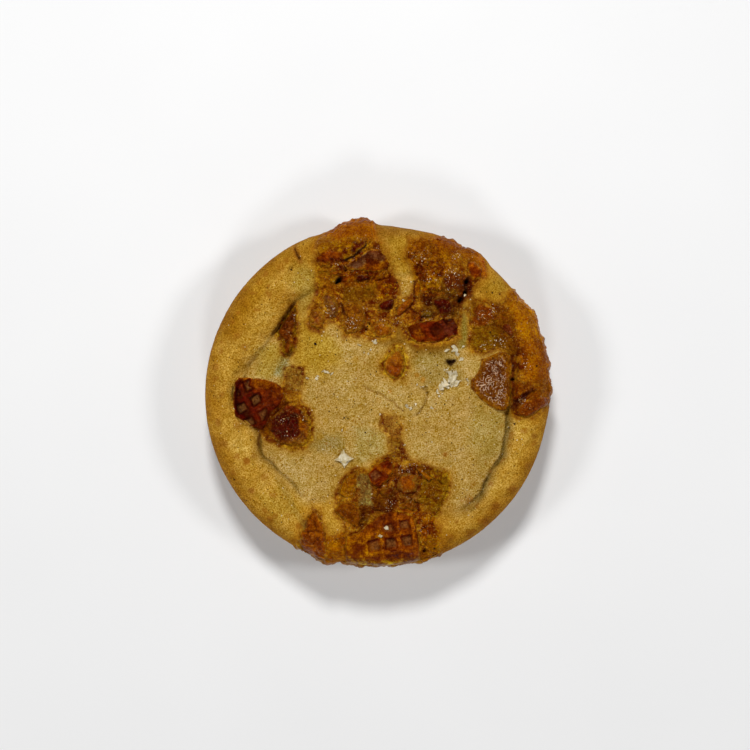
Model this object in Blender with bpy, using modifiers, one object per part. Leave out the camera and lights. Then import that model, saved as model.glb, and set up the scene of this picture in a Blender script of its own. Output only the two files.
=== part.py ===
"""Caramel waffle cookie: a round, tin-baked dough body with a raised rim and a sunken middle,
set with broken pieces of syrup waffle and lumps of caramel.

Frame: metres, +Z up, the origin at the centre of the flat underside. +Y is the side with the
largest caramel overflow. Sizes below are in millimetres and angles in degrees, turned
anticlockwise from +X.
"""

import math

import bmesh
import bpy
from mathutils import Matrix, Vector

for leftover in list(bpy.data.objects):
    bpy.data.objects.remove(leftover, do_unlink=True)

MM = 0.001
GAP = 0.3  # air between a set-in piece and the dough round it

# ---- driving dimensions of the dough ----
RADIUS = 50.0
RIM_HEIGHT = 17.4
MIDDLE_HEIGHT = 14.6
MIDDLE_DOME = 0.7
CREST_INSET = 6.2  # from the outer edge in to the top of the rim
SHOULDER_DROP = 5.6  # from the top of the rim down to the widest line
FOOT_INSET = 1.5  # the wall leans in by this much at the foot
FOOT_HEIGHT = 2.4
WALL_BEND = 0.62  # share of the widest line's height where the wall starts to lean in
FOOT_ROUND = 0.9  # the foot curves in by this much more, at this share of its height
FOOT_ROUND_SHARE = 0.3
BASE_INSET = 4.0  # from the outer edge in to the flat underside
MEAN_FOLD = 38.0  # the fold line's distance before it is drawn out to its real run
ANGLE_STEPS = 78

# Fold line between the sunken middle and the rim: (angle, distance from the centre).
FOLD_LINE = (
    (-180, 40.2), (-161, 36.0), (-152, 37.4), (-146, 36.1), (-135, 35.2), (-124, 36.0), (-108, 31.0),
    (-90, 29.0), (-72, 33.0), (-50, 42.0), (-44, 42.0), (-38, 40.5), (-33, 39.8), (-26, 40.6), (-20, 39.6),
    (-8, 38.6), (12, 39.0), (30, 36.5), (60, 33.5), (90, 33.0), (115, 34.5), (131, 35.4), (143, 33.9),
    (155, 34.8), (168, 37.4), (180, 40.2),
)
# Depth of the crease that runs in the fold line: (angle, depth). The rim rises steeply over a deep one.
CREASE_DEPTH = (
    (-180, 0.4), (-158, 0.9), (-150, 0.9), (-138, 0.6), (-122, 0.3), (-100, 0.0), (-60, 0.1), (-44, 1.0),
    (-25, 1.1), (-12, 1.2), (4, 0.7), (20, 0.0), (60, 0.0), (110, 0.0), (128, 0.7), (143, 1.1), (154, 0.7),
    (165, 0.4), (180, 0.4),
)
STEEP_CREASE = 4.8
# Where the outline leaves the circle: (middle angle, half width of the bulge, how far out).
# The overflowing caramel stands out, and the dough between has drawn back from the tin.
OUTLINE_BULGES = (
    (96.6, 6.6, 2.2), (91.0, 21.0, -1.0), (54.0, 4.5, 0.8), (27.0, 5.0, 0.6), (14.0, 19.0, 1.0),
    (-72.5, 3.0, 0.5), (-107.5, 3.5, 0.5), (-110.0, 8.0, 0.5), (168.0, 60.0, -0.25),
)
# Low swells and hollows of the baked top: (x, y, half width, height).
SWELLS = (
    (-7, 46, 7, 0.9), (21, 40, 9, 0.7), (43, 12, 8, 0.9), (6, -28, 11, 0.9), (-17, -41, 6, 0.5),
    (-31, 9, 4, 1.1), (-16, 10, 9, 0.4), (20, -12, 12, 0.3), (-20, -22, 8, -0.5), (-19, 31, 6, -0.9),
    (26, 21, 4, -0.7), (6, 39, 4, -0.6), (-2, -12, 6, -0.4),
)

# ---- driving dimensions of the set-in pieces ----
WAFFLE_THICK = 5.0
WAFFLE_PITCH = 4.8
PIT_WIDTH = 3.7
PIT_FLOOR = 2.2
PIT_DEPTH = 1.0
PIT_OVERCUT = 1.6  # the cutters rise this many pit depths, and still clear each other
PIT_ROOM = 1.5  # a pit is cut where a square of twice this side lies in the piece
CORNERS = ((1, 1), (1, -1), (-1, 1), (-1, -1))
CARAMEL_THICK = 4.2
STICK_THICK = 3.0
FOLD_CARAMEL_THICK = 3.6
LUMP_HEIGHT = 5.4
LUMP_BLUNT = 0.6  # 1 gives a plain round lump, less a blunter one
FLUSH_PROUD = 0.5  # how far the set-in pieces stand over the dough
RAISED_PROUD = 1.0
PIECE_TOP = RIM_HEIGHT + 4.0  # the pieces are drawn up to here, then trimmed
POCKET_TOP = RIM_HEIGHT + 6.0

parts = bpy.data.collections.new("caramel_waffle_cookie")
cutters = bpy.data.collections.new("cutters")
for collection in (parts, cutters):
    bpy.context.scene.collection.children.link(collection)


def material(name, colour, roughness):
    """A Principled material; colour is linear RGB."""
    made = bpy.data.materials.new(name)
    made.use_nodes = True
    shader = made.node_tree.nodes["Principled BSDF"]
    shader.inputs["Base Color"].default_value = (*colour, 1.0)
    shader.inputs["Roughness"].default_value = roughness
    shader.inputs["Metallic"].default_value = 0.0
    return made


BAKED_DOUGH = material("baked dough", (0.43, 0.24, 0.045), 0.75)
SYRUP_WAFFLE = material("syrup waffle", (0.14, 0.04, 0.004), 0.35)
CARAMEL = material("caramel", (0.20, 0.065, 0.004), 0.3)
GOLDEN_CARAMEL = material("golden caramel", (0.32, 0.13, 0.010), 0.4)


# ---- helpers for shapes ----
def between(table, angle):
    """The value of an (angle, value) table at an angle, eased from point to point."""
    for (low, first), (high, second) in zip(table, table[1:]):
        if low <= angle <= high:
            t = (angle - low) / (high - low)
            return first + (second - first) * t * t * (3 - 2 * t)
    return table[0][1]


def edge_radius(angle):
    """Distance from the centre to the outer edge at an angle."""
    radius = RADIUS
    for middle, width, out in OUTLINE_BULGES:
        away = (angle - middle + 180) % 360 - 180
        radius += out * math.exp(-((away / width) ** 4))
    return radius


def top_height(x, y):
    """Height of the dough's upper surface over a point."""
    angle = math.degrees(math.atan2(y, x))
    radius = math.hypot(x, y)
    edge = edge_radius(angle)
    fold = between(FOLD_LINE, angle)
    crest = edge - CREST_INSET
    if radius < fold:
        height = MIDDLE_HEIGHT + MIDDLE_DOME * (1 - (radius / fold) ** 2)
    elif radius < crest:
        t = ((radius - fold) / (crest - fold)) ** (1 - between(CREASE_DEPTH, angle) / STEEP_CREASE)
        height = MIDDLE_HEIGHT + (RIM_HEIGHT - MIDDLE_HEIGHT) * math.sin(t * math.pi / 2)
    else:
        t = min(1.0, (radius - crest) / CREST_INSET)
        height = RIM_HEIGHT - SHOULDER_DROP * (1 - math.sqrt(1 - t * t))
    for swell_x, swell_y, width, high in SWELLS:
        height += high * math.exp(-((x - swell_x) ** 2 + (y - swell_y) ** 2) / width**2)
    return height


def to_mesh(thing, name, collection):
    """The evaluated shape of an object as a new mesh object with its caps welded; the old one goes."""
    bpy.context.view_layer.update()
    evaluated = thing.evaluated_get(bpy.context.evaluated_depsgraph_get())
    mesh = bpy.data.meshes.new_from_object(evaluated)
    place = thing.matrix_world.copy()
    bpy.data.objects.remove(thing, do_unlink=True)
    made = bpy.data.objects.new(name, mesh)
    made.matrix_world = place
    shape = bmesh.new()
    shape.from_mesh(mesh)
    bmesh.ops.remove_doubles(shape, verts=shape.verts, dist=0.00001)
    shape.to_mesh(mesh)
    shape.free()
    mesh.name = name
    collection.objects.link(made)
    return made


def as_cutter(thing):
    thing.hide_render = True
    thing.display_type = "WIRE"
    return thing


def boolean(thing, other, operation):
    cut = thing.modifiers.new(other.name, "BOOLEAN")
    cut.object = other
    cut.operation = operation
    cut.solver = "EXACT"


def grown(outline, by):
    """An anticlockwise outline moved outwards by a distance, corner by corner."""
    corners = [Vector(point) for point in outline]
    moved = []
    for before, here, after in zip(corners[-1:] + corners[:-1], corners, corners[1:] + corners[:1]):
        first = (here - before).normalized()
        second = (after - here).normalized()
        out = Vector((first.y + second.y, -first.x - second.x)).normalized()
        spread = max(0.6, out.dot(Vector((first.y, -first.x))))
        moved.append(here + out * (by / spread))
    return moved


def prism(name, outline, low, high, collection):
    """An outline filled and drawn up from one height to another."""
    curve = bpy.data.curves.new(name, "CURVE")
    curve.dimensions = "2D"
    curve.fill_mode = "BOTH"
    curve.extrude = (high - low) / 2 * MM
    line = curve.splines.new("POLY")
    line.points.add(len(outline) - 1)
    line.use_cyclic_u = True
    for knot, (x, y) in zip(line.points, outline):
        knot.co = (x * MM, y * MM, 0.0, 1.0)
    drawn = bpy.data.objects.new(name, curve)
    drawn.location = (0.0, 0.0, (low + high) / 2 * MM)
    bpy.context.scene.collection.objects.link(drawn)
    return to_mesh(drawn, name, collection)


def middle_of(outline):
    return [sum(values) / len(outline) for values in zip(*outline)]


def anticlockwise(outline):
    """The outline with its points in anticlockwise order."""
    turn = sum(a[0] * b[1] - b[0] * a[1] for a, b in zip(outline, outline[1:] + outline[:1]))
    return list(outline) if turn > 0 else list(reversed(outline))


# ---- dough body: turned section, then drawn out to the real fold line and outline ----
TOP_STEPS = (
    0.0, 0.14, 0.28, 0.42, 0.56, 0.68, 0.79, 0.88, 0.95, 1.0, 1.10, 1.35, 1.65, 2.0, 2.3, 2.6, 2.85, 3.0,
)


def ring_place(step, fold, crest, edge):
    """Distance from the centre of a top ring: step 1 is the fold, 2 the crest, 3 the edge."""
    if step <= 1:
        return step * fold
    if step <= 2:
        return fold + (step - 1) * (crest - fold)
    return crest + (edge - crest) * math.sin((step - 2) * math.pi / 2)


def ring_step(radius, fold, crest, edge):
    """The step of a ring from its distance: the inverse of ring_place."""
    if radius <= fold:
        return radius / fold
    if radius <= crest:
        return 1 + (radius - fold) / (crest - fold)
    return 2 + math.asin(min(1.0, (radius - crest) / (edge - crest))) * 2 / math.pi


def dough_body():
    mean_crest = RADIUS - CREST_INSET
    rim_foot = RIM_HEIGHT - SHOULDER_DROP
    section = [(ring_place(step, MEAN_FOLD, mean_crest, RADIUS), RIM_HEIGHT) for step in TOP_STEPS]
    section += [
        (RADIUS - 0.1, rim_foot * WALL_BEND),
        (RADIUS - FOOT_INSET, FOOT_HEIGHT),
        (RADIUS - FOOT_INSET - FOOT_ROUND, FOOT_HEIGHT * FOOT_ROUND_SHARE),
        (RADIUS - BASE_INSET, 0.0),
        (0.0, 0.0),
    ]
    mesh = bpy.data.meshes.new("dough")
    sides = [(i, i + 1) for i in range(len(section) - 1)]
    mesh.from_pydata([(x * MM, 0, z * MM) for x, z in section], sides, [])
    turned = bpy.data.objects.new("turned", mesh)
    bpy.context.scene.collection.objects.link(turned)
    screw = turned.modifiers.new("turn", "SCREW")
    screw.steps = ANGLE_STEPS
    screw.render_steps = ANGLE_STEPS
    screw.use_merge_vertices = True
    screw.merge_threshold = 0.00001
    body = to_mesh(turned, "dough", parts)
    for vertex in body.data.vertices:
        x, y, z = vertex.co / MM
        radius = math.hypot(x, y)
        turn = math.atan2(y, x)
        angle = math.degrees(turn)
        edge = edge_radius(angle)
        if z > rim_foot:
            fold = between(FOLD_LINE, angle)
            step = ring_step(radius, MEAN_FOLD, mean_crest, RADIUS)
            place = ring_place(step, fold, edge - CREST_INSET, edge)
            height = top_height(place * math.cos(turn), place * math.sin(turn))
            if abs(step - 1) < 0.01:
                height -= between(CREASE_DEPTH, angle)
        else:
            place = radius + (edge - RADIUS) * z / rim_foot
            height = z
        vertex.co = Vector((place * math.cos(turn), place * math.sin(turn), height)) * MM
    body.data.shade_smooth()
    body.data.set_sharp_from_angle(angle=math.radians(40))
    body.data.materials.append(BAKED_DOUGH)
    return body


dough = dough_body()


def envelope(proud):
    """The whole dough shape raised a little: it trims a set-in piece to the dough's own form."""
    made = bpy.data.objects.new("envelope", dough.data.copy())
    made.location.z = proud * MM
    cutters.objects.link(made)
    return as_cutter(made)


FLUSH = envelope(FLUSH_PROUD)
RAISED = envelope(RAISED_PROUD)


def pocket(name, outline, floor):
    """Cuts the room for a piece out of the dough, wider and deeper than the piece by the gap."""
    room = prism(name + "_pocket", grown(outline, GAP), floor - GAP, POCKET_TOP, cutters)
    boolean(dough, as_cutter(room), "DIFFERENCE")


def slab(name, outline, thick, trim, finish):
    """A flat broken piece that lies in the top and follows its form."""
    outline = anticlockwise(outline)
    floor = top_height(*middle_of(outline)) - thick
    piece = prism(name, outline, floor, PIECE_TOP, parts)
    boolean(piece, trim, "INTERSECT")
    piece.data.materials.append(finish)
    pocket(name, outline, floor)
    return piece


def inside(point, outline):
    x, y = point
    hit = False
    for (x1, y1), (x2, y2) in zip(outline, outline[1:] + outline[:1]):
        if (y1 > y) != (y2 > y) and x < (x2 - x1) * (y - y1) / (y2 - y1) + x1:
            hit = not hit
    return hit


def waffle(name, outline, turn, pit, thick=WAFFLE_THICK):
    """A piece of syrup waffle: a slab with square pits in rows; pit is the centre of one of them."""
    piece = slab(name, outline, thick, RAISED, SYRUP_WAFFLE)
    pits = bmesh.new()
    along = Vector((math.cos(math.radians(turn)), math.sin(math.radians(turn)))) * WAFFLE_PITCH
    across = Vector((-along.y, along.x))
    for i in range(-5, 6):
        for j in range(-5, 6):
            centre = Vector(pit) + along * i + across * j
            sides = [centre + (along * a + across * b) / WAFFLE_PITCH * PIT_ROOM for a, b in CORNERS]
            if not all(inside(side, outline) for side in sides):
                continue
            # A four-sided cone, wide end up, sunk to the pit's floor.
            floor = top_height(*centre) + RAISED_PROUD - PIT_DEPTH
            rise = PIT_DEPTH * PIT_OVERCUT
            wide = PIT_FLOOR + (PIT_WIDTH - PIT_FLOOR) * PIT_OVERCUT
            place = Matrix.Translation(Vector((centre.x, centre.y, floor + rise / 2)) * MM)
            spin = Matrix.Rotation(math.radians(turn + 45), 4, "Z")
            bmesh.ops.create_cone(
                pits, cap_ends=True, segments=4, depth=rise * MM, matrix=place @ spin,
                radius1=PIT_FLOOR / math.sqrt(2) * MM, radius2=wide / math.sqrt(2) * MM,
            )
    mesh = bpy.data.meshes.new(name + "_pits")
    pits.to_mesh(mesh)
    pits.free()
    cutter = bpy.data.objects.new(name + "_pits", mesh)
    cutters.objects.link(cutter)
    boolean(piece, as_cutter(cutter), "DIFFERENCE")
    return piece


def reach_to(outline, centre, angle):
    """Distance from a point inside an outline to the outline, in one direction."""
    way = Vector((math.cos(angle), math.sin(angle)))
    nearest = 0.0
    for first, second in zip(outline, outline[1:] + outline[:1]):
        start = Vector(first) - centre
        side = Vector(second) - Vector(first)
        slope = way.x * side.y - way.y * side.x
        if abs(slope) < 1e-9:
            continue
        distance = (start.x * side.y - start.y * side.x) / slope
        share = (start.x * way.y - start.y * way.x) / slope
        if distance > 0 and -1e-6 <= share <= 1 + 1e-6:
            nearest = max(nearest, distance)
    return nearest


def lump(name, outline, finish, proud=1.4, high=LUMP_HEIGHT):
    """A rounded lump: a sphere drawn out to the outline, with a blunt crown."""
    outline = anticlockwise(outline)
    centre = Vector(middle_of(outline))
    shape = bmesh.new()
    bmesh.ops.create_uvsphere(shape, u_segments=14, v_segments=8, radius=1.0)
    crown = top_height(*centre) + proud
    for vertex in shape.verts:
        flat = math.hypot(vertex.co.x, vertex.co.y)
        angle = math.atan2(vertex.co.y, vertex.co.x)
        spread = flat**LUMP_BLUNT * reach_to(outline, centre, angle) if flat > 1e-6 else 0.0
        height = crown - high / 2 * (1 - vertex.co.z)
        place = centre + Vector((math.cos(angle), math.sin(angle))) * spread
        vertex.co = Vector((place.x, place.y, height)) * MM
    mesh = bpy.data.meshes.new(name)
    shape.to_mesh(mesh)
    shape.free()
    mesh.shade_smooth()
    mesh.materials.append(finish)
    piece = bpy.data.objects.new(name, mesh)
    parts.objects.link(piece)
    pocket(name, outline, crown - high)
    return piece


# ---- syrup waffle pieces ----
waffle(
    "waffle_left",
    [(-41.3, -0.2), (-41.4, -3.4), (-40.8, -6.3), (-38.2, -7.9), (-35.4, -9.7), (-32.8, -10.3),
     (-31.6, -8.6), (-30.4, -5.4), (-28.0, -3.4), (-26.6, -0.8), (-26.4, 1.4), (-28.4, 3.2), (-31.5, 4.5),
     (-36.5, 5.2), (-39.9, 5.2), (-40.9, 3.6)],
    turn=28, pit=(-34.6, -1.5),
)
waffle(
    "waffle_middle",
    [(8.6, 19.6), (9.8, 16.6), (12.0, 15.1), (17.2, 15.2), (20.8, 16.1), (23.8, 17.4), (24.0, 19.6),
     (22.4, 22.2), (19.6, 22.3), (17.4, 21.5), (14.2, 21.4), (11.0, 20.9)],
    turn=38, pit=(17.3, 18.9),
)
waffle(
    "waffle_front",
    [(0.2, -34.9), (-2.4, -37.2), (-5.2, -39.6), (-8.4, -40.6), (-9.0, -43.4), (-8.6, -52.0), (12.8, -52.0),
     (12.4, -43.0), (11.8, -38.0), (10.8, -34.8), (8.2, -33.8), (5.2, -33.5), (2.2, -34.0)],
    turn=8, pit=(8.9, -42.1),
)
waffle(
    "waffle_front_small",
    [(-2.4, -22.9), (-2.0, -25.4), (-0.4, -26.6), (1.4, -26.6), (3.6, -24.6), (4.8, -22.2), (5.0, -20.2),
     (3.6, -18.8), (1.2, -19.4), (-1.0, -20.4)],
    turn=42, pit=(-0.1, -23.3),
)
waffle(
    "waffle_top",
    [(-9.2, 37.3), (-8.0, 35.9), (-5.6, 36.1), (-2.4, 35.7), (1.0, 35.6), (3.4, 36.2), (3.9, 38.0),
     (2.6, 40.0), (0.6, 41.6), (-1.9, 41.8), (-4.2, 40.2), (-6.4, 38.7)],
    turn=-8, pit=(-0.1, 37.8),
)
waffle(
    "waffle_upper_right",
    [(25.9, 36.4), (26.7, 34.0), (28.0, 32.9), (30.1, 33.6), (30.5, 36.2), (28.2, 38.5), (26.2, 38.4)],
    turn=-40, pit=(28.35, 35.8),
)

# ---- flat shards of waffle and wafer ----
slab(
    "shard_top",
    [(-10.2, 38.3), (-6.8, 39.5), (-4.6, 41.0), (-2.5, 42.6), (-1.6, 43.7), (-2.4, 45.2), (-4.6, 45.3),
     (-7.0, 44.0), (-9.6, 42.6), (-12.8, 41.6), (-14.6, 40.4), (-13.6, 38.8)],
    CARAMEL_THICK, RAISED, CARAMEL,
)
slab(
    "plate_right",
    [(34.9, 12.4), (32.5, 11.1), (30.2, 10.4), (29.9, 8.0), (28.9, 6.2), (27.1, 4.2), (27.1, 2.0),
     (28.6, 0.2), (30.5, -1.8), (33.0, -3.6), (35.0, -4.7), (37.3, -4.8), (38.6, -3.5), (38.9, -1.0),
     (39.0, 3.0), (38.8, 6.0), (39.3, 8.0), (38.9, 11.0), (37.0, 12.5)],
    CARAMEL_THICK, RAISED, CARAMEL,
)
slab(
    "tongue_right",
    [(40.5, -4.4), (41.5, -3.0), (44.0, -1.2), (46.0, -0.6), (49.0, -0.6), (52.5, -1.2), (52.0, -3.4),
     (46.6, -4.5), (45.0, -5.8), (43.0, -6.5), (41.3, -6.0)],
    CARAMEL_THICK, FLUSH, GOLDEN_CARAMEL,
)
slab(
    "shard_right",
    [(35.5, 19.4), (36.9, 20.7), (38.4, 20.4), (39.6, 17.6), (38.9, 16.4), (37.4, 17.6)],
    CARAMEL_THICK, RAISED, SYRUP_WAFFLE,
)
slab(
    "stick_top",
    [(5.5, 23.0), (6.6, 22.5), (8.2, 23.9), (10.2, 26.0), (10.7, 27.4), (9.4, 27.9), (7.4, 26.6),
     (5.9, 24.6)],
    STICK_THICK, RAISED, GOLDEN_CARAMEL,
)
slab(
    "strip_top",
    [(10.9, 28.6), (12.2, 27.9), (12.9, 29.6), (12.8, 32.0), (11.6, 32.9), (10.8, 31.0)],
    STICK_THICK, RAISED, GOLDEN_CARAMEL,
)
slab(
    "flake_front",
    [(-10.8, -28.9), (-9.9, -25.8), (-8.8, -23.9), (-6.8, -22.6), (-5.2, -21.9), (-5.3, -24.6),
     (-5.7, -27.4), (-6.6, -29.6), (-8.8, -29.9)],
    CARAMEL_THICK, RAISED, GOLDEN_CARAMEL,
)
slab(
    "flake_front_low",
    [(-11.9, -33.4), (-10.6, -31.4), (-8.4, -30.8), (-6.2, -31.2), (-4.6, -33.8), (-4.4, -36.2),
     (-5.7, -38.2), (-7.8, -37.0), (-10.2, -35.2)],
    CARAMEL_THICK, RAISED, GOLDEN_CARAMEL,
)
slab(
    "shard_front",
    [(11.3, -21.0), (13.2, -21.3), (14.8, -22.6), (16.4, -24.0), (15.4, -25.2), (13.9, -24.4),
     (12.6, -22.9)],
    STICK_THICK, RAISED, GOLDEN_CARAMEL,
)
slab(
    "shard_front_low",
    [(6.4, -31.6), (8.8, -31.0), (10.8, -30.0), (11.6, -31.6), (11.2, -33.6), (8.8, -32.8), (6.8, -32.6)],
    STICK_THICK, RAISED, CARAMEL,
)

# ---- caramel lumps ----
slab(
    "caramel_fold_left",
    [(-23.7, 25.6), (-25.6, 23.4), (-27.3, 20.8), (-28.6, 18.6), (-28.2, 16.9), (-26.9, 16.0),
     (-27.1, 13.6), (-26.6, 11.6), (-25.0, 11.4), (-24.3, 13.6), (-23.7, 17.0), (-23.2, 21.0),
     (-23.1, 24.6)],
    FOLD_CARAMEL_THICK, FLUSH, CARAMEL,
)
slab(
    "crumb_left",
    [(-30.0, -6.4), (-27.6, -4.2), (-25.8, -2.6), (-23.4, -2.9), (-21.2, -3.9), (-19.7, -6.2),
     (-18.9, -9.0), (-19.2, -12.4), (-20.6, -14.4), (-24.0, -14.9), (-27.4, -14.4), (-29.6, -12.9),
     (-31.2, -10.6), (-31.1, -8.9)],
    CARAMEL_THICK, RAISED, CARAMEL,
)
slab(
    "chunk_rim_left",
    [(-18.6, -33.2), (-16.6, -34.2), (-15.2, -36.8), (-14.4, -40.0), (-14.3, -44.0), (-14.9, -51.0),
     (-24.0, -48.0), (-22.0, -42.8), (-21.8, -39.8), (-20.6, -37.0), (-19.6, -34.8)],
    CARAMEL_THICK, FLUSH, CARAMEL,
)
lump(
    "lump_top_left",
    [(-19.6, 22.4), (-18.6, 24.6), (-16.6, 25.4), (-15.3, 24.0), (-15.0, 21.4), (-15.4, 19.4),
     (-17.2, 18.8), (-19.0, 20.0)],
    GOLDEN_CARAMEL,
)
lump(
    "lump_top_second",
    [(-14.4, 24.2), (-14.9, 26.6), (-16.0, 28.2), (-14.4, 29.8), (-12.4, 28.6), (-11.1, 26.6),
     (-11.1, 23.8), (-12.0, 22.2), (-13.7, 22.3)],
    CARAMEL,
)
lump(
    "lump_top_round",
    [(-9.9, 25.4), (-8.2, 27.0), (-5.6, 27.0), (-3.4, 25.2), (-2.9, 21.8), (-3.9, 18.9), (-6.2, 17.9),
     (-8.6, 17.7), (-10.2, 19.8), (-10.4, 22.8)],
    GOLDEN_CARAMEL,
)
lump(
    "lump_top_low",
    [(-1.4, 20.4), (0.2, 21.4), (2.6, 21.0), (4.4, 19.6), (4.2, 17.4), (2.0, 16.4), (-0.2, 16.9),
     (-1.8, 18.4)],
    GOLDEN_CARAMEL, proud=0.9,
)
lump(
    "lump_top_red",
    [(0.2, 25.6), (1.6, 27.4), (4.0, 28.2), (5.6, 27.4), (5.2, 25.6), (4.0, 24.0), (1.4, 23.8)],
    CARAMEL, proud=0.9,
)
lump(
    "lump_top_dark",
    [(-6.6, 33.4), (-5.4, 34.8), (-2.6, 34.9), (-0.9, 34.2), (-1.5, 32.9), (-4.0, 32.3), (-6.0, 32.5)],
    CARAMEL, proud=0.8, high=3.6,
)
lump(
    "lump_upper_right",
    [(18.7, 31.0), (18.9, 34.0), (20.8, 35.9), (23.2, 36.2), (24.8, 34.4), (25.3, 31.4), (24.4, 29.3),
     (21.8, 28.8), (19.6, 29.2)],
    CARAMEL,
)
lump(
    "lump_upper_dark",
    [(16.0, 27.7), (18.2, 28.2), (21.2, 27.6), (22.4, 25.2), (22.1, 23.5), (19.8, 23.2), (18.0, 23.0),
     (17.7, 24.6), (16.4, 26.0)],
    CARAMEL, proud=1.0,
)
lump(
    "lump_upper_small",
    [(12.8, 23.2), (14.0, 24.6), (15.8, 25.0), (16.8, 23.8), (16.0, 22.7), (14.0, 22.4)],
    GOLDEN_CARAMEL, proud=0.8, high=3.4,
)
lump(
    "lump_right",
    [(26.9, 22.6), (27.4, 24.8), (28.9, 26.7), (31.0, 26.8), (33.2, 25.6), (34.7, 23.8), (34.9, 21.6),
     (33.4, 20.4), (30.6, 19.4), (28.0, 18.8), (26.8, 20.4)],
    GOLDEN_CARAMEL, proud=1.2,
)
lump(
    "chunk_middle",
    [(2.0, 9.0), (3.2, 11.2), (5.2, 13.2), (7.0, 12.8), (8.2, 10.8), (8.5, 8.0), (7.6, 5.7), (6.0, 4.6),
     (4.2, 4.9), (2.6, 6.6)],
    GOLDEN_CARAMEL, proud=0.7,
)
lump(
    "nugget_front",
    [(6.4, -24.4), (7.4, -22.9), (9.6, -22.4), (11.4, -23.2), (12.1, -25.2), (11.8, -27.4), (10.2, -29.0),
     (7.6, -29.0), (6.1, -27.4), (5.9, -25.8)],
    GOLDEN_CARAMEL,
)
lump(
    "nugget_front_dark",
    [(1.0, -28.2), (2.4, -27.1), (4.2, -26.2), (5.2, -26.9), (5.2, -28.8), (4.0, -29.9), (2.0, -29.6)],
    CARAMEL, proud=0.8, high=3.6,
)
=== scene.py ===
import math

import bmesh
import bpy
import numpy as np
from mathutils import Matrix, Vector
from mathutils.bvhtree import BVHTree


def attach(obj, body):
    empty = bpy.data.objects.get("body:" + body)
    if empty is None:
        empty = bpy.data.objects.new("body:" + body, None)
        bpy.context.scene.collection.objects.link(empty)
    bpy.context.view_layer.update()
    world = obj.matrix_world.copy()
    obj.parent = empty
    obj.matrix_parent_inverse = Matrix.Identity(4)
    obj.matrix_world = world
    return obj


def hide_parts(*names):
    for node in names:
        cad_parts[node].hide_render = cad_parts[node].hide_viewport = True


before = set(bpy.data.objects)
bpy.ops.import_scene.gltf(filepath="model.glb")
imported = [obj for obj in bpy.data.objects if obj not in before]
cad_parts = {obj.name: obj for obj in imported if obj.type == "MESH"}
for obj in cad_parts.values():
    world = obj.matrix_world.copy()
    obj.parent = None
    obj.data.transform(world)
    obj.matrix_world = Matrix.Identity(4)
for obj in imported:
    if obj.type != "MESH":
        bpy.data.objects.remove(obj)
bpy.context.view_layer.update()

# ---- Dough body ----
# A soft butter dough pressed into a round tin and baked: the middle rises and sinks again, which
# leaves a high rim with creases along its inner foot. Where chopped syrup waffle was stirred in,
# its caramel has melted, soaked the crumb and run out over the rim.
MM = 0.001  # sizes below are in millimetres, in the frame of the solids
RADIUS = 50.0
RIM_HEIGHT = 17.4
MIDDLE_HEIGHT = 14.6
MIDDLE_DOME = 0.7
CREST_INSET = 6.2
SHOULDER_DROP = 5.6
FOOT_INSET = 1.5
FOOT_HEIGHT = 2.4
BASE_INSET = 4.0
# By angle in degrees: how far out the fold inside the rim runs, and how deep its crease is.
FOLD_LINE = (
    (-180, 40.2), (-161, 36), (-152, 37.4), (-146, 36.1), (-135, 35.2), (-124, 36), (-108, 31), (-90, 29),
    (-72, 33), (-50, 42), (-44, 42), (-38, 40.5), (-33, 39.8), (-26, 40.6), (-20, 39.6), (-8, 38.6),
    (12, 39), (30, 36.5), (60, 33.5), (90, 33), (115, 34.5), (131, 35.4), (143, 33.9), (155, 34.8),
    (168, 37.4), (180, 40.2),
)
CREASE_DEPTH = (
    (-180, 0.4), (-158, 0.9), (-150, 0.9), (-138, 0.6), (-122, 0.3), (-100, 0), (-60, 0.1), (-44, 1),
    (-25, 1.1), (-12, 1.2), (4, 0.7), (20, 0), (60, 0), (110, 0), (128, 0.7), (143, 1.1), (154, 0.7),
    (165, 0.4), (180, 0.4),
)
# Where the outline stands out: (middle and width in degrees, by how much).
OUTLINE_BULGES = (
    (96.6, 6.6, 2.2), (91, 21, -1), (54, 4.5, 0.8), (27, 5, 0.6), (14, 19, 1), (-72.5, 3, 0.5),
    (-107.5, 3.5, 0.5), (-110, 8, 0.5), (168, 60, -0.25),
)
# Swells and hollows of the top: (x, y, width, height).
SWELLS = (
    (-7, 46, 7, 0.9), (21, 40, 9, 0.7), (43, 12, 8, 0.9), (6, -28, 11, 0.9), (-17, -41, 6, 0.5),
    (-31, 9, 4, 1.1), (-16, 10, 9, 0.4), (20, -12, 12, 0.3), (-20, -22, 8, -0.5), (-19, 31, 6, -0.9),
    (26, 21, 4, -0.7), (6, 39, 4, -0.6), (-2, -12, 6, -0.4),
)


def linear(code):
    """An sRGB hex colour as linear values."""
    parts = np.array([int(code[i : i + 2], 16) / 255 for i in (1, 3, 5)])
    return np.where(parts <= 0.04045, parts / 12.92, ((parts + 0.055) / 1.055) ** 2.4)


def eased(t):
    """A smooth step from 0 at 0 to 1 at 1."""
    t = np.clip(t, 0.0, 1.0)
    return t * t * (3 - 2 * t)


def between(table, angle):
    """The values of an (angle, value) table at each angle, eased from point to point."""
    marks, values = np.array(table, float).T
    k = np.clip(np.searchsorted(marks, angle, side="right") - 1, 0, len(marks) - 2)
    return values[k] + (values[k + 1] - values[k]) * eased((angle - marks[k]) / (marks[k + 1] - marks[k]))


def noise(points, size, seed):
    """Smooth noise between -1 and 1 over points in mm, with lumps of about the given size."""
    table = np.random.default_rng(seed).uniform(-1, 1, (32, 32, 32))
    place = points / size + 512.5
    cell = np.floor(place).astype(int)
    t = eased(place - cell)
    total = np.zeros(len(points))
    for corner in np.ndindex(2, 2, 2):
        share = np.prod(np.where(corner, t, 1 - t), axis=1)
        x, y, z = ((cell + corner) % 32).T
        total += share * table[x, y, z]
    return total


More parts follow.
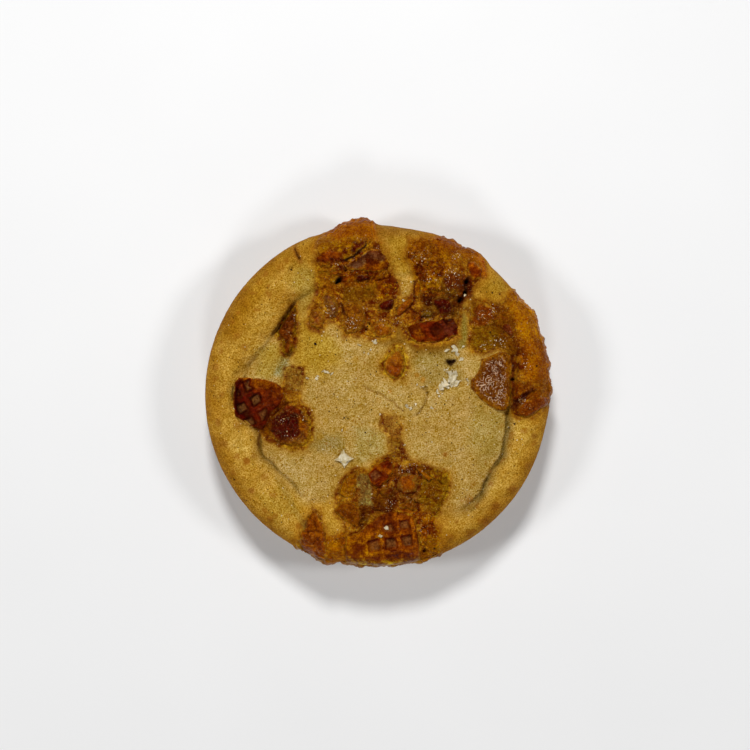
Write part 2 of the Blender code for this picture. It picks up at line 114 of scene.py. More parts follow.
def rough(points, size, seed, octaves=3):
    """Noise in several finer and weaker layers."""
    turned = points @ np.array([[0.8, 0.6, 0.0], [-0.6, 0.8, 0.0], [0.0, 0.0, 1.0]])
    return sum(noise(turned if k % 2 else points, size / 2**k, seed + k) / 2**k for k in range(octaves))


def level(x, y):
    """Points at height 0 over x and y."""
    return np.stack([x, y, np.zeros_like(x)], axis=1)


def wavered(points, size, seed, reach, octaves=3):
    """The points' x and y moved about by up to reach in mm, which makes a border ragged."""
    return points[:, :2] + reach * np.stack([rough(points, size, seed + k, octaves) for k in (0, 4)], axis=1)


def laid_over(colour, code, share):
    """A hex colour laid over a ground by a share for each point."""
    return colour + (linear(code) - colour) * share[:, None]


def inward(points, outline, closed=True):
    """How far each point lies inside an outline in mm, negative outside. An open line gives minus the
    distance."""
    corners = np.array(outline, float)
    ends = np.roll(corners, -1, axis=0) if closed else corners[1:]
    nearest = np.full(len(points), 1e9)
    within = np.zeros(len(points), bool)
    x, y = points[:, 0], points[:, 1]
    for (x1, y1), (x2, y2) in zip(corners, ends):
        dx, dy = x2 - x1, y2 - y1
        t = np.clip(((x - x1) * dx + (y - y1) * dy) / (dx**2 + dy**2), 0, 1)
        nearest = np.minimum(nearest, np.hypot(x - x1 - t * dx, y - y1 - t * dy))
        if closed and dy:
            within ^= ((y1 > y) != (y2 > y)) & (x < dx * (y - y1) / dy + x1)
    return np.where(within, nearest, -nearest)


def edge_radius(angle):
    """Distance from the centre to the outer edge at each angle."""
    radius = np.full(np.shape(angle), RADIUS)
    for middle, width, out in OUTLINE_BULGES:
        away = (angle - middle + 180) % 360 - 180
        radius = radius + out * np.exp(-((away / width) ** 4))
    return radius


def baked_top(x, y):
    """Height of the dough's upper surface over each point, without its fine grain."""
    angle = np.degrees(np.arctan2(y, x))
    radius = np.hypot(x, y)
    edge = edge_radius(angle)
    fold = between(FOLD_LINE, angle)
    crest = edge - CREST_INSET
    middle = MIDDLE_HEIGHT + MIDDLE_DOME * (1 - (radius / fold) ** 2)
    lip = between(CREASE_DEPTH, angle) / 2.4  # a deep crease has a steep inner wall
    climb = np.clip((radius - fold) / (crest - fold), 0, 1) ** (1 - 0.5 * lip)
    rise = MIDDLE_HEIGHT + (RIM_HEIGHT - MIDDLE_HEIGHT) * np.sin(climb * math.pi / 2)
    t = np.clip((radius - crest) / CREST_INSET, 0, 1)
    shoulder = RIM_HEIGHT - SHOULDER_DROP * (1 - np.sqrt(1 - t * t))
    height = np.where(radius < fold, middle, np.where(radius < crest, rise, shoulder))
    for swell_x, swell_y, width, high in SWELLS:
        height = height + high * np.exp(-((x - swell_x) ** 2 + (y - swell_y) ** 2) / width**2)
    return height


# Outlines of the set-in pieces, (x, y) from above. The dough has a pocket under each of them.
WAFFLES = {
    "waffle_left": [
        (-41.3, -0.2), (-41.4, -3.4), (-40.8, -6.3), (-38.2, -7.9), (-35.4, -9.7), (-32.8, -10.3),
        (-31.6, -8.6), (-30.4, -5.4), (-28, -3.4), (-26.6, -0.8), (-26.4, 1.4), (-28.4, 3.2), (-31.5, 4.5),
        (-36.5, 5.2), (-39.9, 5.2), (-40.9, 3.6),
    ],
    "waffle_middle": [
        (8.6, 19.6), (9.8, 16.6), (12, 15.1), (17.2, 15.2), (20.8, 16.1), (23.8, 17.4), (24, 19.6),
        (22.4, 22.2), (19.6, 22.3), (17.4, 21.5), (14.2, 21.4), (11, 20.9),
    ],
    "waffle_front": [
        (0.2, -34.9), (-2.4, -37.2), (-5.2, -39.6), (-8.4, -40.6), (-9, -43.4), (-8.8, -48.8), (-4, -49.3),
        (0, -49.5), (5, -49.3), (9.5, -48.7), (12.6, -48), (12.4, -43), (11.8, -38), (10.8, -34.8),
        (8.2, -33.8), (5.2, -33.5), (2.2, -34),
    ],
    "waffle_front_small": [
        (-2.4, -22.9), (-2, -25.4), (-0.4, -26.6), (1.4, -26.6), (3.6, -24.6), (4.8, -22.2), (5, -20.2),
        (3.6, -18.8), (1.2, -19.4), (-1, -20.4),
    ],
    "waffle_top": [
        (-9.2, 37.3), (-8, 35.9), (-5.6, 36.1), (-2.4, 35.7), (1, 35.6), (3.4, 36.2), (3.9, 38), (2.6, 40),
        (0.6, 41.6), (-1.9, 41.8), (-4.2, 40.2), (-6.4, 38.7),
    ],
    "waffle_upper_right": [
        (25.9, 36.4), (26.7, 34), (28, 32.9), (30.1, 33.6), (30.5, 36.2), (28.2, 38.5), (26.2, 38.4),
    ],
}
SHARDS = {
    "shard_top": [
        (-10.2, 38.3), (-6.8, 39.5), (-4.6, 41), (-2.5, 42.6), (-1.6, 43.7), (-2.4, 45.2), (-4.6, 45.3),
        (-7, 44), (-9.6, 42.6), (-12.8, 41.6), (-14.6, 40.4), (-13.6, 38.8),
    ],
    "plate_right": [
        (34.9, 12.4), (32.5, 11.1), (30.2, 10.4), (29.9, 8), (28.9, 6.2), (27.1, 4.2), (27.1, 2),
        (28.6, 0.2), (30.5, -1.8), (33, -3.6), (35, -4.7), (37.3, -4.8), (38.6, -3.5), (38.9, -1), (39, 3),
        (38.8, 6), (39.3, 8), (38.9, 11), (37, 12.5),
    ],
    "tongue_right": [
        (40.5, -4.4), (41.5, -3), (44, -1.2), (46, -0.6), (49, -0.6), (50.3, -1.2), (49.8, -2.8),
        (46.6, -4.5), (45, -5.8), (43, -6.5), (41.3, -6),
    ],
    "shard_right": [(35.5, 19.4), (36.9, 20.7), (38.4, 20.4), (39.6, 17.6), (38.9, 16.4), (37.4, 17.6)],
    "stick_top": [
        (5.5, 23), (6.6, 22.5), (8.2, 23.9), (10.2, 26), (10.7, 27.4), (9.4, 27.9), (7.4, 26.6),
        (5.9, 24.6),
    ],
    "strip_top": [(10.9, 28.6), (12.2, 27.9), (12.9, 29.6), (12.8, 32), (11.6, 32.9), (10.8, 31)],
    "flake_front": [
        (-10.8, -28.9), (-9.9, -25.8), (-8.8, -23.9), (-6.8, -22.6), (-5.2, -21.9), (-5.3, -24.6),
        (-5.7, -27.4), (-6.6, -29.6), (-8.8, -29.9),
    ],
    "flake_front_low": [
        (-11.9, -33.4), (-10.6, -31.4), (-8.4, -30.8), (-6.2, -31.2), (-4.6, -33.8), (-4.4, -36.2),
        (-5.7, -38.2), (-7.8, -37), (-10.2, -35.2),
    ],
    "shard_front": [
        (11.3, -21), (13.2, -21.3), (14.8, -22.6), (16.4, -24), (15.4, -25.2), (13.9, -24.4), (12.6, -22.9),
    ],
    "shard_front_low": [
        (6.4, -31.6), (8.8, -31), (10.8, -30), (11.6, -31.6), (11.2, -33.6), (8.8, -32.8), (6.8, -32.6),
    ],
}
CARAMELS = {
    "caramel_fold_left": [
        (-23.7, 25.6), (-25.6, 23.4), (-27.3, 20.8), (-28.6, 18.6), (-28.2, 16.9), (-26.9, 16),
        (-27.1, 13.6), (-26.6, 11.6), (-25, 11.4), (-24.3, 13.6), (-23.7, 17), (-23.2, 21), (-23.1, 24.6),
    ],
    "crumb_left": [
        (-30, -6.4), (-27.6, -4.2), (-25.8, -2.6), (-23.4, -2.9), (-21.2, -3.9), (-19.7, -6.2), (-18.9, -9),
        (-19.2, -12.4), (-20.6, -14.4), (-24, -14.9), (-27.4, -14.4), (-29.6, -12.9), (-31.2, -10.6),
        (-31.1, -8.9),
    ],
    "chunk_rim_left": [
        (-18.6, -33.2), (-16.6, -34.2), (-15.2, -36.8), (-14.4, -40), (-14.3, -44), (-14.6, -47.8),
        (-18, -47), (-21, -45.2), (-22, -42.8), (-21.8, -39.8), (-20.6, -37), (-19.6, -34.8),
    ],
}
LUMPS = {
    "lump_top_left": [
        (-19.6, 22.4), (-18.6, 24.6), (-16.6, 25.4), (-15.3, 24), (-15, 21.4), (-15.4, 19.4), (-17.2, 18.8),
        (-19, 20),
    ],
    "lump_top_second": [
        (-14.4, 24.2), (-14.9, 26.6), (-16, 28.2), (-14.4, 29.8), (-12.4, 28.6), (-11.1, 26.6),
        (-11.1, 23.8), (-12, 22.2), (-13.7, 22.3),
    ],
    "lump_top_round": [
        (-9.9, 25.4), (-8.2, 27), (-5.6, 27), (-3.4, 25.2), (-2.9, 21.8), (-3.9, 18.9), (-6.2, 17.9),
        (-8.6, 17.7), (-10.2, 19.8), (-10.4, 22.8),
    ],
    "lump_top_low": [
        (-1.4, 20.4), (0.2, 21.4), (2.6, 21), (4.4, 19.6), (4.2, 17.4), (2, 16.4), (-0.2, 16.9),
        (-1.8, 18.4),
    ],
    "lump_top_red": [(0.2, 25.6), (1.6, 27.4), (4, 28.2), (5.6, 27.4), (5.2, 25.6), (4, 24), (1.4, 23.8)],
    "lump_top_dark": [
        (-6.6, 33.4), (-5.4, 34.8), (-2.6, 34.9), (-0.9, 34.2), (-1.5, 32.9), (-4, 32.3), (-6, 32.5),
    ],
    "lump_upper_right": [
        (18.7, 31), (18.9, 34), (20.8, 35.9), (23.2, 36.2), (24.8, 34.4), (25.3, 31.4), (24.4, 29.3),
        (21.8, 28.8), (19.6, 29.2),
    ],
    "lump_upper_dark": [
        (16, 27.7), (18.2, 28.2), (21.2, 27.6), (22.4, 25.2), (22.1, 23.5), (19.8, 23.2), (18, 23),
        (17.7, 24.6), (16.4, 26),
    ],
    "lump_upper_small": [(12.8, 23.2), (14, 24.6), (15.8, 25), (16.8, 23.8), (16, 22.7), (14, 22.4)],
    "lump_right": [
        (26.9, 22.6), (27.4, 24.8), (28.9, 26.7), (31, 26.8), (33.2, 25.6), (34.7, 23.8), (34.9, 21.6),
        (33.4, 20.4), (30.6, 19.4), (28, 18.8), (26.8, 20.4),
    ],
    "chunk_middle": [
        (2, 9), (3.2, 11.2), (5.2, 13.2), (7, 12.8), (8.2, 10.8), (8.5, 8), (7.6, 5.7), (6, 4.6),
        (4.2, 4.9), (2.6, 6.6),
    ],
    "nugget_front": [
        (6.4, -24.4), (7.4, -22.9), (9.6, -22.4), (11.4, -23.2), (12.1, -25.2), (11.8, -27.4), (10.2, -29),
        (7.6, -29), (6.1, -27.4), (5.9, -25.8),
    ],
    "nugget_front_dark": [
        (1, -28.2), (2.4, -27.1), (4.2, -26.2), (5.2, -26.9), (5.2, -28.8), (4, -29.9), (2, -29.6),
    ],
}
SET_IN = {**WAFFLES, **SHARDS, **CARAMELS, **LUMPS}

# Open creases and cracks: (line, half width, depth).
CREASES = (
    ([(-23.4, 42), (-22.9, 40.6), (-22.1, 39)], 0.3, 0.9),
    ([(-31, -26.5), (-28, -31), (-26, -34.1), (-23.6, -36.5), (-20.6, -39.5)], 1.8, 0.9),
    ([(-38.8, -9.5), (-38.6, -13), (-37.4, -16.5)], 1.2, 0.6),
    ([(-41, -7), (-40.6, -11), (-40.4, -15)], 1, 0.35),
    ([(-24.6, 12.5), (-26.6, 9.6), (-27.4, 6.4)], 0.9, 0.8),
    ([(-33.2, 12.4), (-35.6, 8.6), (-39.6, 5.9)], 1.2, 0.9),
    ([(-23.3, 28.5), (-22.6, 33), (-22.8, 36.5)], 2, 0.6),
    ([(-3.8, 2.5), (-2, 1.3), (0, 0.6), (1.6, 0.2), (3.2, -1.6), (5, -1.9), (6.3, -3.7), (8.2, -5)], 0.3,
      0.35),
    ([(15, 0.6), (14.6, -1.6), (13.7, -4), (12.4, -5.6), (10, -7)], 0.45, 0.5),
    ([(39.7, 11), (40.2, 8), (39.8, 5), (39.6, 0), (39.6, -3.2), (37.8, -5.4)], 0.8, 1.1),
    ([(40.2, -2.2), (42.5, -0.3), (45, 0.8)], 0.6, 1.2),
    ([(8.6, 45), (8, 42), (8.3, 38.5), (9.6, 34)], 0.7, 0.5),
    ([(3.2, 42), (4.4, 38), (5, 34.4), (9.5, 34)], 0.7, 0.5),
)
# Open pits: (x, y, radius, depth).
PITS = (
    (-24.6, 36.1, 0.6, 1.2), (-10.9, 33, 0.8, 2.2), (-11.5, 32.5, 0.5, 1.6), (-8.9, 35.8, 0.5, 1.2),
    (25.6, 29.5, 0.7, 2.2), (24.2, 27.3, 0.8, 2.4), (25.9, 32.4, 0.7, 2), (21.2, 9.4, 0.9, 2.2),
    (22.3, 9.7, 0.6, 1.6), (39.5, 4.4, 0.6, 1.5), (13.8, -44.9, 0.7, 1.6), (40, -8.4, 0.5, 1.2),
    (-2, 20.4, 0.5, 1.2), (-3, 19, 0.45, 0.8), (14, 1.7, 0.6, 0.7), (14.8, 0.6, 0.4, 0.6),
    (35.6, 29, 0.4, 0.6), (33.3, 29.3, 0.4, 0.5), (31.5, 33.9, 0.6, 0.5), (-3.6, -36.8, 1.3, 1.4),
    (7, 24, 0.7, 1),
)
POCKET_DEPTH = 4.0
CRUST_BED = 0.7  # how far the dough lies lower under the soaked crust
CRUST_LIFT = 0.12  # how far the crust stands over the dough's own height


def steeped(colour, depth):
    """Caramel's colour under a deeper layer of itself, or a thinner one below 0: red is the last to fade."""
    law = np.where((depth > 0)[:, None], (0.42, 1.05, 1.25), (0.42, 0.58, 0.66))
    return colour * np.exp(-depth[:, None] * law)


def broken(points, size, seed):
    """Chopped bits of about a given size in mm over points: a random tone for each bit, its tilted top and
    the distance to the next bit."""
    table = np.random.default_rng(seed).uniform(-1, 1, (64, 64, 5))
    place = points[:, :2] / size
    cell = np.floor(place).astype(int)
    near = np.full(len(points), 9.0)
    second = near.copy()
    facts = np.zeros((len(points), 5))
    centre = np.zeros((len(points), 2))
    for step in np.ndindex(3, 3):
        other = cell + step - 1
        drawn = table[other[:, 0] % 64, other[:, 1] % 64]
        middle = other + 0.5 + 0.42 * drawn[:, :2]
        away = np.linalg.norm(place - middle, axis=1)
        closer = away < near
        second = np.where(closer, near, np.minimum(second, away))
        near = np.where(closer, away, near)
        facts[closer] = drawn[closer]
        centre[closer] = middle[closer]
    tilted = 0.5 * facts[:, 2] + np.sum(facts[:, 3:] * (place - centre), axis=1)
    return facts[:, 2], tilted, (second - near) * size / 2


def rim_crease(x, y):
    """Distance outward from the crease at the rim's foot, and how deep it is."""
    points = level(x, y)
    angle = np.degrees(np.arctan2(y, x))
    away = np.hypot(x, y) - between(FOLD_LINE, angle) + 0.35 * noise(points, 5.0, 31)
    return away, between(CREASE_DEPTH, angle) * (0.85 + 0.35 * noise(points, 6.0, 39))


def soft_relief(x, y):
    """The gentle lumps of the risen dough, higher on the rim, in mm."""
    points = level(x, y)
    rim = eased((np.hypot(x, y) - 32) / 8)
    return (0.2 + 0.4 * rim) * rough(points, 8.0, 34, 2) + 0.28 * rough(points, 2.8, 35, 3)


def dough_top(x, y):
    """Height of the dough's own crumb: the baked top with its creases and pits."""
    height = baked_top(x, y)
    points = level(x, y)
    away, depth = rim_crease(x, y)
    width = np.maximum(0.45 + 0.25 * noise(points, 9.0, 32), 0.28)
    height -= depth * np.exp(-((away / width) ** 2))
    height -= 0.5 * depth * np.exp(-((away / np.where(away < 0, 4.0, 0.9)) ** 2))
    for line, half, depth in CREASES:
        height -= depth * np.exp(-((inward(points, line, closed=False) / half) ** 2))
    for pit_x, pit_y, reach, depth in PITS:
        gap = np.hypot(x - pit_x, y - pit_y) + 0.25 * noise(points, 0.8, 33)
        height -= depth * eased(1.35 - gap / reach)
    return height + soft_relief(x, y)


def pocketed(x, y, height):
    """A surface let down into the pockets of the set-in pieces. It closes on most of their edges and gapes
    on some."""
    points = level(x, y)
    gape = 0.6 * eased((noise(points, 3.2, 36) - 0.46) / 0.4)
    for outline in SET_IN.values():
        floor = np.minimum(baked_top(*np.mean(outline, axis=0)) - POCKET_DEPTH, height)
        height = height + (floor - height) * eased((inward(points, outline) + gape - 0.75) / 0.4)
    return height


def crust_border(points, outline):
    """Distance in mm inside the ragged border of a stretch of soaked crust."""
    return inward(points, outline) - 0.8 + 0.7 * rough(level(points[:, 0], points[:, 1]), 2.6, 37)


def soaked(points):
    """How far caramel has soaked into the dough at each point, 0 to 1."""
    cover = np.zeros(len(points))
    for outline, soft in SOAKED.values():
        cover = np.maximum(cover, eased(crust_border(points, outline) / soft + 0.75))
    return cover


def chunkiness(flat):
    """How much the soaked crumb is a jumble of chopped bits at each point, 0.25 to 1."""
    chunky = np.full(len(flat), 0.25)
    for outline in CHUNKY:
        chunky = np.maximum(chunky, eased(inward(flat, outline) / 3.0 + 0.5))
    return chunky


def crumb_relief(points):
    """The soaked crumb's relief in mm, its clefts from 0 to 1, and a tone for each bit."""
    chunky = chunkiness(points[:, :2])
    bent = wavered(points, 1.6, 61, 0.45)
    tone, tilted, gap = broken(bent, 3.1, 62)
    fine_tone, fine_tilted, fine_gap = broken(bent, 1.4, 63)
    open_share = eased(0.5 + 1.1 * noise(points, 3.4, 67))
    clefts = np.maximum(np.exp(-((gap / 0.22) ** 2)), 0.6 * np.exp(-((fine_gap / 0.14) ** 2)))
    cleft = chunky * open_share * clefts
    relief = chunky * (0.5 * tilted + 0.2 * fine_tilted) - 0.5 * cleft + 0.14 * rough(points, 1.0, 66, 2)
    return relief, cleft, chunky * (0.5 * tone + 0.25 * fine_tone) + 0.5 * rough(points, 2.6, 68)


# Stretches of caramel-soaked crumb: (outline, softness of the border).
SOAKED = {
    "crust_top": ([
        (-16.5, 46), (-13, 49), (-10, 53), (-0.4, 53), (0.2, 47.5), (1.4, 44.6), (3.2, 41.4), (4.8, 36.6),
        (5.4, 34), (7.2, 33.2), (7.6, 28.6), (9.2, 28.4), (10.4, 33.2), (9.4, 36.4), (8, 39), (7.8, 42.5),
        (8.8, 45.4), (14, 46), (20, 46.6), (26, 44.2), (31.8, 39), (32.2, 34), (29.4, 31), (28.2, 28.2),
        (25.2, 26), (24.9, 16), (20, 14), (12, 13), (8.2, 14.7), (6.4, 19.4), (5.4, 16.4), (2, 14.8),
        (-2, 15.6), (-6, 16.2), (-9.9, 16), (-11.6, 20.2), (-13.4, 20.6), (-15.1, 17.6), (-18.8, 17.8),
        (-21, 21.2), (-19.8, 26), (-18.2, 29), (-17.6, 33), (-18.8, 37.5), (-18.4, 42),
    ], 1.6),
    "crust_right": ([
        (25.4, 24.6), (27.8, 28.4), (31.3, 28.8), (35, 27.4), (38.6, 30.8), (43, 31.8), (54, 26),
        (54, -1.6), (50.4, -3.8), (45, -7.4), (41, -7.8), (38.2, -6.2), (37.2, 3), (37, 11.6), (35, 12.4),
        (31, 10.6), (27, 11.8), (25.8, 15), (26.2, 18),
    ], 1.4),
    "crust_front": ([
        (-13.4, -34), (-12.6, -28.6), (-11, -24.4), (-8.4, -21.8), (-5, -20.1), (-2.8, -20.8),
        (-1.2, -18.6), (1, -17.6), (3.6, -15.8), (3.4, -13.4), (8.6, -14.2), (10, -17.6), (13.4, -19.1),
        (18, -21.1), (22, -21.8), (22.3, -26), (21.4, -30), (19.6, -33.4), (18.2, -37), (19.8, -42),
        (19.4, -47.2), (14, -53), (-14, -53), (-24.8, -49), (-23.8, -42), (-22.2, -37), (-20.4, -33.2),
        (-18.6, -31.6), (-16, -32.8), (-14.2, -37.2), (-13, -39.8), (-10.4, -39.2), (-10.6, -37.2),
        (-12.4, -35.8),
    ], 1.3),
    "crust_left": ([
        (-27.4, 8.2), (-24, 9), (-20.4, 8.4), (-20.6, 4.6), (-21.6, 1.6), (-20.8, -1.6), (-18.2, -4.8),
        (-17.2, -9), (-17.8, -13.6), (-20, -16.1), (-24, -16.7), (-28, -16), (-31.6, -13.6), (-35, -10.8),
        (-37, -4), (-30, 1), (-27.4, 3),
    ], 1.2),
    "crust_fold": ([
        (-22, 28.4), (-25.2, 26.3), (-28.4, 22), (-30.6, 18.2), (-29.2, 15.4), (-28.2, 15), (-28.2, 11.6),
        (-26.6, 10), (-24, 10.1), (-22.6, 14), (-21.8, 17), (-21.8, 23),
    ], 1),
    "crust_middle": ([
        (0.8, 6.4), (0.6, 9.6), (2.4, 12.6), (4.8, 15), (8.4, 15.2), (10.2, 11.2), (9.8, 7), (8.2, 4),
        (4.8, 3),
    ], 1.2),
    "crust_stain": ([
        (0.8, -5.4), (3.6, -4.2), (7.2, -6.6), (8.2, -9.2), (8, -12), (9, -14.6), (6.8, -17.2),
        (3.2, -15.8), (2.8, -12.2), (0.8, -10.8),
    ], 1.4),
}
# Where the soaked crumb is a jumble of chopped bits, and not a smooth run of caramel.
CHUNKY = (
    [(-17.5, 30), (-17, 38), (-8, 44), (2, 43), (5, 36), (7, 30), (6, 22), (-5, 16), (-19, 18)],
    [(9, 45), (22, 44), (25.5, 39), (25, 26), (24, 15), (9, 15), (9.5, 30)],
    [(26.5, 27), (35, 26.5), (38.5, 22), (27, 21)],
    [(-12, -34), (-8, -23), (5, -16.5), (20.5, -23), (19, -32), (14, -47), (10, -34), (-5, -40)],
    [(-22, -36), (-16.5, -33), (-13.5, -48), (-22, -46)],
    [(-31, -3), (-22, -3), (-22, -12), (-30, -13)],
    [(-28, 22), (-23, 25), (-23, 12), (-28, 12)],
    [(39.5, 3), (46, 2), (50, -1), (45, -6), (39, -6)],
)

# Where the soaked crumb is smooth and even.
CALM = (
    [(-5.4, -22.6), (-2.6, -22.6), (-1.2, -26.6), (-1, -31.6), (-5.2, -32)],
    [(-9.6, 33), (0.8, 32.8), (0.8, 27.4), (-9.6, 27)],
    [(12.6, -24), (21, -24), (20.4, -34), (13, -34)],
    [(27, 21), (38.6, 21), (40, 11), (27, 11)],
    [(0, 3), (0, 16), (10.6, 16), (10.6, 3)],
    [(-0.5, -4), (9, -4), (9.6, -15), (2.6, -15)],
    [(-28, 9), (-19.4, 9), (-19.4, 0), (-25, -2)],
    [(-17, -3), (-16.4, -17), (-33, -17.6), (-33, -13), (-24, -13.6), (-19.6, -9)],
    [(-18.4, 38), (-12, 37), (-11, 28), (-18.4, 27)],
)

# Colours of the baked dough as they show in even light, from the middle out to the underside.
PALE_MIDDLE = "#AC8A3E"
SOAKED_CRUMB = "#86560A"
GOLDEN_RIM = "#B08428"
OUTER_RIM = "#A06C10"
BAKED_WALL = "#8A5E22"
BAKED_BASE = "#94642A"
DARK_RIM_START = 43.5  # distance from the centre where the outer rim turns darker
WALL_TOP = 13.6
BASE_EDGE = 1.4
# What these take from or add to red, green and blue: an uneven bake, syrup round the soaked stretches,
# painted shade in the hollow inside the rim and in its crease.
BAKE_SWING = (0.6, 1.0, 2.2)
SYRUP_HALO = (0.12, 0.3, 0.9)
HOLLOW_SHADE = (0.28, 0.27, 0.26)
SLIT_SHADE = (0.4, 0.38, 0.36)
# Fields of colour on the top: (outline, colour, softness, strength).
FIELDS = (
    # Golden butter patches of the plain dough, and its greyer, darker patches: painted shade in its hollows
    # and beside its creases.
    ([(-22, 24), (-12, 16), (-10, 9), (-15, 5), (-22, 6), (-25, 11)], "#A68018", 6, 0.8),
    ([(1, 22), (25, 17), (22, 12.5), (12, 11), (8, 15), (0, 14.5)], "#704901", 3, 0.85),
    ([(-19, -11), (-10, -12), (-9, -16.5), (-20, -16)], "#8A7538", 3.5, 0.7),
    ([(-6, -10), (3, -10), (3, -18), (-6, -20)], "#A28F48", 3.5, 0.6),
    ([(28, -2), (37, -6), (37, -16), (30, -22), (27, -12)], "#9A7F31", 5, 0.7),
    ([(10, 11), (22, 13), (26, 4), (14, 2)], "#8A722E", 3, 0.6),
    ([(-29, 12), (-26, 11), (-24.6, 7), (-26.4, 4), (-30, 6)], "#9AA472", 2, 0.6),
    ([(-34, 13.5), (-29, 15), (-27.6, 10), (-30, 5), (-35.4, 5)], "#A58528", 2, 0.8),
    ([(24, 25), (27, 25), (26.4, 14), (23.6, 13)], "#81722C", 2, 0.9),
    ([(-2, 50), (15, 49), (14, 46), (8.6, 45), (4, 43), (-1, 46)], "#8E6218", 2.5, 0.8),
    ([(3.6, 45), (9, 46), (9, 35), (4.4, 34.6)], "#A98122", 2.5, 0.8),
    ([(28, 31), (36, 35), (40, 29), (33, 26)], "#9B7218", 3.5, 0.8),
    ([(-24, 38), (-17, 36), (-17, 25), (-22, 24)], "#9B7D28", 4, 0.7),
    # The rim browned more at the upper left than elsewhere.
    ([(-14, 53), (-38, 42), (-53, 18), (-50, 11), (-41, 16), (-35, 27), (-25, 37.5), (-16, 43)], "#966611",
      6, 0.85),
    ([(-43, 16), (-38, 18), (-31, 30), (-33, 33), (-42, 22)], "#976605", 4, 0.6),
    ([(-27, -27), (-22, -33), (-29, -37), (-34, -29)], "#A27C21", 4, 0.7),
)
SOAKED_FIELDS = (
    # Caramel-soaked crumb: bright where it ran out thin over the rim, brown and dark where it is deep.
    ([(-17, 47), (-9, 54), (2, 54), (3, 44), (-4, 45.5), (-10, 44)], "#894B01", 3, 1),
    ([(-16, 43), (-8, 45), (-2, 44), (-6, 39), (-14, 37)], "#8D5C01", 3, 0.9),
    ([(-17, 39), (-14, 41.6), (-9.8, 41), (-9.6, 38.2), (-14, 37.8)], "#7D3001", 1.5, 0.85),
    ([(-18, 37), (-11, 36), (-11, 29), (-17, 27)], "#915F08", 2.5, 0.9),
    ([(-10, 36), (4, 35.5), (5, 32), (-9, 31)], "#7C4701", 2.5, 0.9),
    ([(-10, 32), (0, 31), (0, 27.6), (-9, 27)], "#6C4303", 2.5, 0.9),
    ([(0, 32), (6.6, 32), (6.4, 28.4), (1, 28)], "#966601", 1.5, 0.9),
    ([(8.6, 46), (20, 45.6), (24, 38), (17, 33), (9, 37)], "#7C4601", 3, 0.9),
    ([(10, 37), (18, 37), (18, 30), (11, 29.5)], "#865301", 3, 0.9),
    ([(16, 47), (26, 45), (33, 39), (30, 38), (24, 41), (17, 43)], "#804401", 2.5, 0.9),
    ([(29, 42), (35, 38), (33, 33), (30.5, 34)], "#934E01", 2, 1),
    ([(24, 34), (27, 34), (28, 28), (25, 26), (23.6, 27)], "#501702", 1.6, 0.9),
    ([(13, 29), (24, 29), (24.6, 22.6), (13, 22)], "#4E2904", 2, 0.8),
    ([(37, 31), (46, 30), (54, 22), (54, 14), (42, 16), (39, 22)], "#995E01", 4, 1),
    ([(41, 16), (54, 16), (54, 3), (43, 4), (41.6, 8)], "#8A4D01", 4, 1),
    ([(40, 3.4), (46, 2.6), (52, 2.4), (52, -2), (44, -1), (40, 0)], "#7D4501", 2, 0.9),
    ([(34.4, 26.4), (37.4, 25), (39.6, 20.4), (41.4, 12), (39.6, 10), (37, 14), (33, 13), (34, 19)],
      "#673801", 2, 0.9),
    ([(27.6, 19), (34, 19.4), (36, 14.6), (31, 12), (27.4, 14)], "#674701", 3.5, 0.7),
    ([(12.6, -20), (21, -22.6), (20.6, -30), (17.4, -36), (12, -30)], "#775305", 2, 0.9),
    ([(12.8, -34), (17.4, -36), (19, -42), (18, -47), (12.6, -48)], "#8A5501", 2, 0.9),
    ([(5.6, -20), (12, -21), (13, -30), (6, -31), (4.6, -24)], "#764A0F", 1.6, 0.9),
    ([(-5, -30), (5.4, -27), (6, -33.6), (-1, -34.4), (-4.6, -39)], "#522501", 1.6, 0.9),
    ([(-5.2, -23), (-2.6, -23), (-1.4, -26.6), (-1.2, -31.4), (-5, -31.8)], "#7A6226", 1.2, 1),
    ([(-14.4, -40), (-8.8, -39.8), (-9, -52), (-15, -52)], "#8D5301", 2, 1),
    ([(3.4, -13), (7.4, -12.6), (8.6, -19), (3.8, -18.4)], "#835B12", 2, 0.9),
    ([(1, -5), (7.4, -6.6), (7.4, -12.6), (1.4, -11)], "#91671F", 2, 0.9),
    ([(-27, 8), (-21, 8), (-21, 1), (-26, 1)], "#7E5917", 1.5, 0.9),
    ([(-0.6, 2), (-0.6, 16), (4, 17), (11, 16), (11, 3)], "#956B0F", 2, 1),
    ([(-20.4, -4), (-17.6, -9), (-18.4, -14), (-24, -16.4), (-31, -14), (-27, -13), (-21, -13)], "#7E5506",
      1, 0.9),
    ([(-23, 28), (-30, 18), (-27, 10), (-23, 12)], "#765102", 1.6, 0.9),
    ([(-34, -11.4), (-31.4, -6), (-27.6, -3), (-25.4, -1.4), (-24.6, -3.4), (-26.6, -6.4), (-28.6, -10.6),
      (-31.4, -12.6)], "#603201", 1, 1),
)
